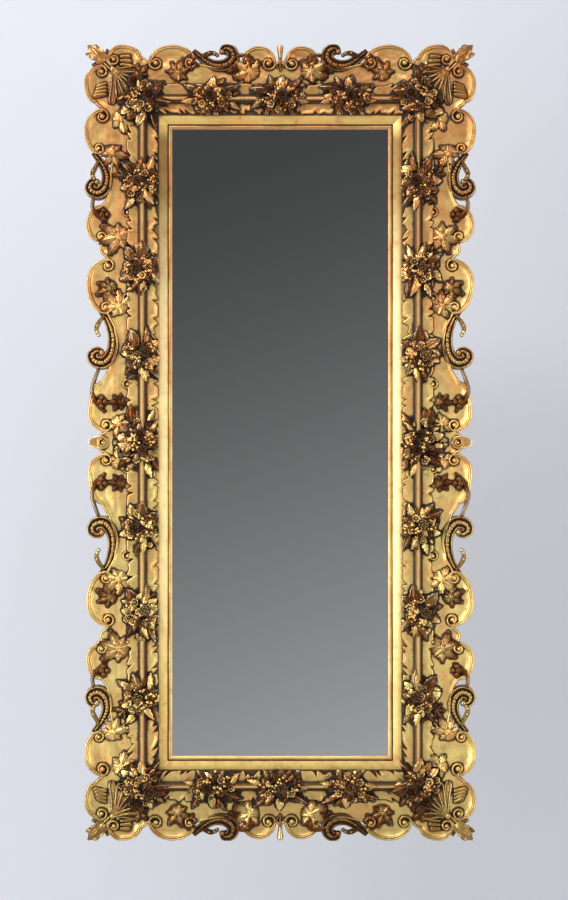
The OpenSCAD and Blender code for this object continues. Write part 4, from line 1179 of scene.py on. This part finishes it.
def leaf_band(rail, seed, scallop=29, notch=16, pitch=1.25):
    """Flat band of leaves under the rod, with round lobes parted by narrow slits on both sides.
    Gives back its shell and its tone, which is dark along the edge: painted shade in the slits and along the
    cut edge."""
    half = half_of[rail]
    rng = np.random.default_rng(seed)
    p = np.linspace(-1, 1, int(2 * (half + leaf_out) / pitch))
    count = 2 * (half + rod_d) / scallop

    def edge(shift, wander):
        """How far the lobes of one side fall short of the band's full width."""
        phase = (p + 1) / 2 * count + shift
        phase = phase + 0.45 * np.sin(p * wander) + 0.28 * np.sin(p * count * 1.9 + shift)
        cell = np.floor(phase).astype(int)
        deep = rng.uniform(0.55, 1.15, cell.max() + 2)
        skew = rng.uniform(0.75, 1.7, cell.max() + 2)
        f = (phase - cell) ** skew[cell]
        bay = 1 - np.sin(math.pi * f) ** 0.42
        return notch * deep[cell] * bay + 0.8 * np.abs(np.sin(2.5 * math.pi * f)) * (1 - bay)

    lo, hi = leaf_in + edge(0.2, 9), leaf_out - edge(0.7, 7)
    near = np.array([0, 0.6, 1.4, 2.4, 3.6, 5, 7, 9.5, 12.5, 16])
    d = np.hstack([lo[:, None] + near, lo[:, None] * 0 + (rod_d - 3, rod_d + 3), hi[:, None] - near[::-1]])
    s = p[:, None] * (half + d)
    rim_line = np.vstack([np.stack([p * (half + lo), lo], 1), np.stack([p * (half + hi), hi], 1)[::-1]])
    flat = nearest(np.stack([s.ravel(), d.ravel()], 1), rim_line, 24)[2].reshape(d.shape)
    z = band_top - 4 * np.exp(-flat / 0.8) + 0.6 * np.exp(-((flat - 4) / 1.8) ** 2) - 1.0 * step(flat, 5, 12)
    z = z + 0.5 * unevenness(s, d, 18, seed) * step(flat, 2, 9)
    front = np.stack([s, d - strip_d, z], -1)
    # Dark within a few mm of the outline: painted shade
    tone = 0.08 + 0.92 * (1 - step(flat, 0.8, 3.4))
    return put(rail, sheet(front, z - ground_t - 0.05)), np.tile(tone.ravel(), 2)


def rod(rail):
    """Half-round rod, mitred at both ends."""
    half = half_of[rail]
    a = np.linspace(0, math.pi, 19)
    d = np.concatenate([rod_d - rod_r * np.cos(a), [rod_d + rod_r, rod_d - rod_r]])
    z = np.concatenate([band_top + rod_r * np.sin(a), [band_top - 3, band_top - 3]])
    p = np.linspace(-1, 1, 160)[:, None]
    sway = 0.25 * unevenness(p * half, 0 * p, 120, 5)
    return put(rail, loft(np.stack([p * (half + d), d - strip_d + 0 * p, z + sway], -1)))


# Building the carved pieces

CARVED = {}


def carved(name):
    """Carving of that name, begun when it is first asked for."""
    return CARVED.setdefault(name, Carving())


loops = {sort: soften(soften(outline_of(node)))
         for sort, node in (("side", "border_right"), ("head", "border_top"))}


def lay(carving, rail, shells, tint, tone, rng=None):
    """Lays shells and their mirror images on a rail. With rng, each takes its own tint from a range."""
    for shell in shells:
        for one in both_ways(shell):
            carving.add(put(rail, one), rng.uniform(*tint) if rng else tint, tone)


def carve_border(rail, seed):
    """One rail's border: its ground, the rims and scrolls on it, the leaves and the small carvings."""
    sort = "side" if rail in ("left", "right") else "head"
    rng = np.random.default_rng(seed)
    carved("border_" + rail + "_ground").add(put(rail, board(loops[sort], seed)), 0.3, 0.0)
    scrolls = carved("border_" + rail + "_scrolls")
    for lobe in patterns[sort]["lobes"]:
        lay(scrolls, rail, rim(lobe), (0.1, 0.4), 0.12, rng)
    for name, shape, tint, tone in (("scrolls", pierced_scroll, 0.55, 0.55), ("tendrils", tendril, 0.4, 1.0),
                                    ("curls", curled_leaf, 0.5, 0.6)):
        for path in patterns[sort][name]:
            lay(scrolls, rail, shape(path), tint, tone)
    for k, leaf in enumerate(patterns[sort]["leaves"]):
        lay_leaf(scrolls, rail, leaf, seed + k, rng)
    for path in patterns[sort]["tendrils"]:
        x, y = path[-2]
        buds = [bead((x + dx, y + dy, ground_t + 2), r, 7)
                for dx, dy, r in ((0, -8, 8), (-9, -12, 7), (9, -12, 7), (0, -20, 7))]
        lay(scrolls, rail, buds, (0.3, 0.8), 0.95, rng)
    for start, angle, length in patterns[sort]["husk"]:
        lay(scrolls, rail, [rib(start, angle, length, 14, 7, ground_t - 1.5, 14, 0.6)], 0.05, 0.45)
    for shell, tint, tone in middle_carving(sort):
        scrolls.add(put(rail, shell), tint, tone)


def lay_leaf(carving, rail, leaf, seed, rng):
    """Vine leaf and its mirror image on the ground, darker towards its outline: its own bronze tone and
    painted shade along its edge.
    """
    place, radius, angle, tint, tone, tip = leaf
    shell = turned(vine_leaf(radius, tip, seed), angle + rng.normal(0, 8), place, ground_t + 0.5)
    away = np.hypot(shell[0][:, 0] - place[0], shell[0][:, 1] - place[1]) / radius
    for one in both_ways(shell):
        # Darker outwards and darkest on the outline: painted shade round the raised leaf
        shade = tone + 0.15 + rng.normal(0, 0.1) + 0.5 * (away - 0.45) + 0.7 * vine_rim ** 5
        carving.add(put(rail, one), np.clip(tint + rng.normal(0, 0.12), 0, 1), np.clip(shade, 0, 1))


def middle_carving(sort):
    """Carving at a rail's middle: a drop-shaped leaf round a volute on a side, a finial at head and foot."""
    if sort == "side":
        yield turned(curled_drop(47, 32), 90, (0, 11), ground_t - 1), 0.5, 0.3
        yield sweep(volute((0, 25), 10, 0, 1), ground_t + 2, 3.6, 6, half_round), 0.3, 0.0
        yield bead((0, 25, ground_t + 5), 3.8, 5), 0.3, 0.0
    else:
        yield rib((0, 27), 90, 31, 17, 9, ground_t - 4, 0, 0.5), 0.3, 0.05
        for angle in (62, 90, 118):
            yield rib((0, -2), angle, 26, 9, 8, ground_t - 1, (angle - 90) * 0.5), 0.5, 0.5


for number, rail_name in enumerate(("left", "right", "top", "bottom")):
    carve_border(rail_name, 11 + 7 * number)
    band, band_shade = leaf_band(rail_name, 31 + number)
    carved("leaf_band_" + rail_name).add(band, 0.35, band_shade)
    carved("rod_" + rail_name).add(rod(rail_name))

# Corner shells

focus = np.array([half_w + strip_d + 3, half_h + strip_d + 3])


def corner_shell(corner, sx, sy):
    """Fan of seven fleshy ribs that bend apart, and a tuft of leaves that fills the frame's corner."""
    piece = carved("corner_shell_" + corner)
    rng = np.random.default_rng(60 + sx + 3 * sy)
    parts = []
    for f in np.arange(7) / 6:
        length = 54 + 24 * f + 12 * math.sin(math.pi * f)
        one = rib(focus - (2, 2), 183 + 84 * f, length, 20, 11, ground_t - 1, (f - 0.5) * 24, 0.42, channel)
        parts.append((one, rng.uniform(0.15, 0.5)))
    tuft = broad_leaf(22, 15, 0.36)
    for angle, length, base, depth in ((14, 44, 5, -1), (84, 44, 5, -1), (20, 33, 30, 2), (78, 33, 30, 2),
                                       (50, 55, 18, 6)):
        leaf = turned(tuft, angle, focus + (base, 0.88 * base), ground_t + depth, length)
        parts.append((leaf, rng.uniform(0.25, 0.6)))
    parts.append((bead((*focus, ground_t + 4), 7, 6, 14, 8), 0.2))
    for (v, q, t), tone in parts:
        piece.add((v * np.array([sx, sy, 1]), q, t), rng.uniform(0.15, 0.5), tone)


corners = {"tl": (-1, 1), "tr": (1, 1), "bl": (-1, -1), "br": (1, -1)}
for corner_name, (sign_x, sign_y) in corners.items():
    corner_shell(corner_name, sign_x, sign_y)

# Flower clusters on the rods

side_x, head_y = half_w + rod_d, half_h + rod_d
side_pitch, head_pitch = head_y / 4, side_x / 2
for side_name, sign in (("left", -1), ("right", 1)):
    for k in (-3, -2, -1, 1, 2, 3):
        half_name = "_upper" if k > 0 else "_lower"
        cluster("clusters_" + side_name + half_name, side_kinds[(k + (sign > 0)) % 3],
                (sign * side_x, k * side_pitch), -sign, 100 + 10 * k + sign, 1, (1.08, 1.3))
    cluster("centre_cluster_" + side_name, centre_kind, (sign * side_x, 0), -sign, 170 + sign, 1,
            (1.1, 1.25))
for end_name, sign in (("top", 1), ("bottom", -1)):
    for way in (-1, 1):
        cluster("clusters_" + end_name, head_kind, (way * head_pitch, sign * head_y), way,
                190 + sign + 3 * way, sign, (1.3, 1.1))
    cluster("centre_cluster_" + end_name, head_kind, (0, sign * head_y), 1, 210 + sign, sign, (1.4, 1.15))
for corner_name, (sign_x, sign_y) in corners.items():
    cluster("corner_cluster_" + corner_name, corner_kind, (sign_x * side_x, sign_y * head_y), -sign_x,
            230 + 2 * sign_x + sign_y, sign_y, (1.1, 1.1))

# Toner and shading: how deep each place lies below the carvings round it. Toner and dust gather in the deep
# places, which are also darkened as painted shade, and the high places get a painted highlight


class Heights:
    """Front view of the frame's height in cells, and the same evened out over a wide and a narrow area."""

    def __init__(self, cell=1.5):
        self.cell = cell
        self.lo = np.array([-half_w - 210, -half_h - 200])
        shape = tuple(int(2 * -v / cell) + 2 for v in self.lo)
        x = self.lo[0] + cell * np.arange(shape[0])[:, None]
        y = self.lo[1] + cell * np.arange(shape[1])[None, :]
        d = np.maximum(np.abs(x) - half_w, np.abs(y) - half_h)
        z = np.where(d < slip_w, face_t + 9, ground_t - 6 + 6 * step(d, slip_w, leaf_in))
        z = np.where(d > leaf_out, face_t, z)
        rod = band_top + np.sqrt(np.clip(rod_r ** 2 - (d - rod_d) ** 2, 0, None))
        self.z = np.where(np.abs(d - rod_d) < rod_r, rod, z)
        for piece in CARVED.values():
            self.stamp(np.vstack(piece.v))
        grown = self.z.copy()
        for dx in (-1, 0, 1):
            for dy in (-1, 0, 1):
                grown = np.maximum(grown, np.roll(self.z, (dx, dy), (0, 1)))
        self.narrow = self.even(grown, 1)
        self.wide = self.even(grown, 8)

    def index(self, v):
        """Cells that points lie in."""
        i = np.round((v[:, :2] - self.lo) / self.cell).astype(int)
        return np.clip(i[:, 0], 0, self.z.shape[0] - 1), np.clip(i[:, 1], 0, self.z.shape[1] - 1)

    def stamp(self, v):
        """Raises the cells to the highest of the points over them."""
        np.maximum.at(self.z, self.index(v), v[:, 2])

    @staticmethod
    def even(z, r):
        """Running mean over r cells each way, taken twice."""
        for axis in (0, 1):
            for _ in range(2):
                total = np.zeros_like(z)
                for k in range(-r, r + 1):
                    total += np.roll(z, k, axis)
                z = total / (2 * r + 1)
        return z


heights = Heights()


def patina_at(v):
    """0 on a high place, given a painted highlight, 0.5 on a flat one and 1 in a deep recess, given toner
    and painted shade.
    """
    i = heights.index(v)
    depth = 0.65 * (heights.narrow[i] - v[:, 2]) / 4.2 + 0.35 * (heights.wide[i] - v[:, 2]) / 11
    return np.clip(0.5 + 0.5 * depth, 0, 1)


# Carved pieces take the place of their plain solids


def bare_back(piece, finish):
    """Bare wood on the faces that point at the wall, which never had gesso or gold."""
    piece.data.materials.append(finish)
    faces = piece.data.polygons
    toward_wall = read(faces, "normal", np.float32, 3)[1::3] > 0.6
    faces.foreach_set("material_index", toward_wall.astype(np.int32))


for piece_name, carving in CARVED.items():
    piece = mesh_object(piece_name + "_carving", carving)
    flat = piece_name.startswith(("border_", "leaf_band")) and not piece_name.endswith("scrolls")
    piece.data.materials.append(rod_gold if "rod" in piece_name else ground_gold if flat else ornament_gold)
    if piece_name.startswith(("border_", "corner_shell")):
        bare_back(piece, pine_cross if "top" in piece_name or "bottom" in piece_name else pine_long)
    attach(piece, "frame")
    ("toned_gilding" if "cluster" in piece_name
            else "burnished_gilding" if "rod" in piece_name else "carved_gilding")
    node_name = piece_name.replace("_ground", "").replace("_scrolls", "")
    if node_name in NODES:
        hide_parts(node_name)
for leftover in SCRATCH:
    bpy.data.objects.remove(leftover)

node_finishes = {
    "stile": pine_long, "back_rail": pine_cross, "lap_pegs": peg_wood, "sight_moulding": band_gold,
    "sight_slip": slip_gold, "mirror_plate": mirror_glass, "backing_felt": felt,
    "glazing_blocks": peg_wood, "backboard_nails": iron, "backboard_centre": middle_board,
    "backboard": backboard, "strap_hanger": zinc, "d_ring": zinc, "hanger_screws": zinc, "wall_pads": cork,
}
for node_name, node_object in NODES.items():
    for start, finish in node_finishes.items():
        if node_name.startswith(start):
            for slot in node_object.material_slots:
                slot.material = finish
            break

# Camera at the photograph's place: straight on and far away.
# The photo's scale, its size in pixels and the pixel at the mirror's middle set the view.

MM_A_PIXEL = 2.26
FRAME_W, FRAME_H = 568, 900
MIDDLE = (280.2, 442.6)
SENSOR = 36
camera_d = 7.0
camera = bpy.data.cameras.new("camera")
camera.sensor_width = SENSOR
camera.lens = SENSOR * (camera_d - ground_t * MM) / (FRAME_H * MM_A_PIXEL * MM)
camera_object = shown("camera", camera)
camera_object.location = ((FRAME_W / 2 - MIDDLE[0]) * MM_A_PIXEL * MM, -camera_d,
                          (MIDDLE[1] - FRAME_H / 2) * MM_A_PIXEL * MM)
camera_object.rotation_euler = (math.radians(90), 0, 0)
bpy.context.scene.camera = camera_object

# Studio


def sheet_object(name, corners_m, finish):
    """Flat sheet with one finish, set up in the studio round the mirror."""
    mesh = bpy.data.meshes.new(name)
    mesh.from_pydata(corners_m, [], [tuple(range(len(corners_m)))])
    mesh.materials.append(finish)
    obj = shown(name, mesh)
    return obj


def one_sided(name, colour):
    """Plain matt surface that is open from behind, so that the back of the mirror can be looked at."""
    made, tree, shader, _ = material(name)
    feed(shader, {"Base Color": linear(colour), "Roughness": 0.9})
    behind = add(tree, "ShaderNodeNewGeometry", (), "Backfacing")
    clear = add(tree, "ShaderNodeBsdfTransparent", (), "BSDF")
    mixed = add(tree, "ShaderNodeMixShader", (behind, shader.outputs["BSDF"], clear), "Shader")
    feed(next(n for n in tree.nodes if n.type == "OUTPUT_MATERIAL"), {"Surface": mixed})
    return made


wall_y = 0.9
floor_z = -1.6
sheet_object("wall", [(-9, wall_y, floor_z), (9, wall_y, floor_z), (9, wall_y, 6), (-9, wall_y, 6)],
             one_sided("pale_wall", "#c9ccd4"))
sheet_object("floor", [(-9, -6, floor_z), (9, -6, floor_z), (9, wall_y, floor_z), (-9, wall_y, floor_z)],
             one_sided("pale_floor", "#d8d8d6"))


def glow(name, low, high, top_z, bottom_z, slant):
    """Card that glows from `low` at its top to `high` at its foot, for the mirror to reflect."""
    made = bpy.data.materials.new(name)
    tree = cleared(made)
    place = add(tree, "ShaderNodeSeparateXYZ", (add(tree, "ShaderNodeTexCoord", (), "Object"),))
    level = add(tree, MATH, (place.outputs["X"], slant, place.outputs["Z"]), "Value",
                operation="MULTIPLY_ADD")
    part = add(tree, RANGE, (level, top_z, bottom_z), "Result")
    part = add(tree, MATH, (part, 1.7), "Value", operation="POWER")
    strength = add(tree, MATH, (part, high - low, low), "Value", operation="MULTIPLY_ADD")
    light = add(tree, "ShaderNodeEmission", {"Color": (1, 1, 1, 1), "Strength": strength}, "Emission")
    add(tree, "ShaderNodeOutputMaterial", {"Surface": light})
    return made


card_w, card_y, card_h = 1.4, -14.0, 3
card_corners = [(x * card_w, card_y, z * card_h) for x, z in ((-1, -1), (-1, 1), (1, 1), (1, -1))]
card = sheet_object("gradient_card", card_corners, glow("gradient_card", 0.064, 0.40, 2.3, -2.3, -0.35))
card.visible_camera = False
card.visible_diffuse = False


def lamp(name, place, size, power, colour=(1, 1, 1)):
    """Softbox that points at the mirror's middle."""
    data = bpy.data.lights.new(name, "AREA")
    data.shape = "RECTANGLE"
    data.size, data.size_y = size
    data.energy = power
    data.color = colour
    obj = shown(name, data)
    obj.location = place
    obj.rotation_euler = (-Vector(place)).to_track_quat("-Z", "Y").to_euler()


lamp("top_softbox", (-0.8, -2.6, 3.4), (3.2, 1.4), 62)
lamp("key_softbox", (-2.3, -2.7, 2.9), (0.6, 0.6), 40)
lamp("left_softbox", (-3.6, -2.8, -0.1), (1.2, 3.2), 96)
lamp("right_softbox", (3.4, -2.6, -0.6), (1.0, 2.6), 40, (1, 0.96, 0.9))


world = bpy.data.worlds.new("studio")
sky = cleared(world)
even_light = add(sky, "ShaderNodeBackground", {"Color": linear("#eeeef0"), "Strength": 0.85}, "Background")
add(sky, "ShaderNodeOutputWorld", {"Surface": even_light})
bpy.context.scene.world = world
bpy.context.scene.view_settings.view_transform = "Standard"
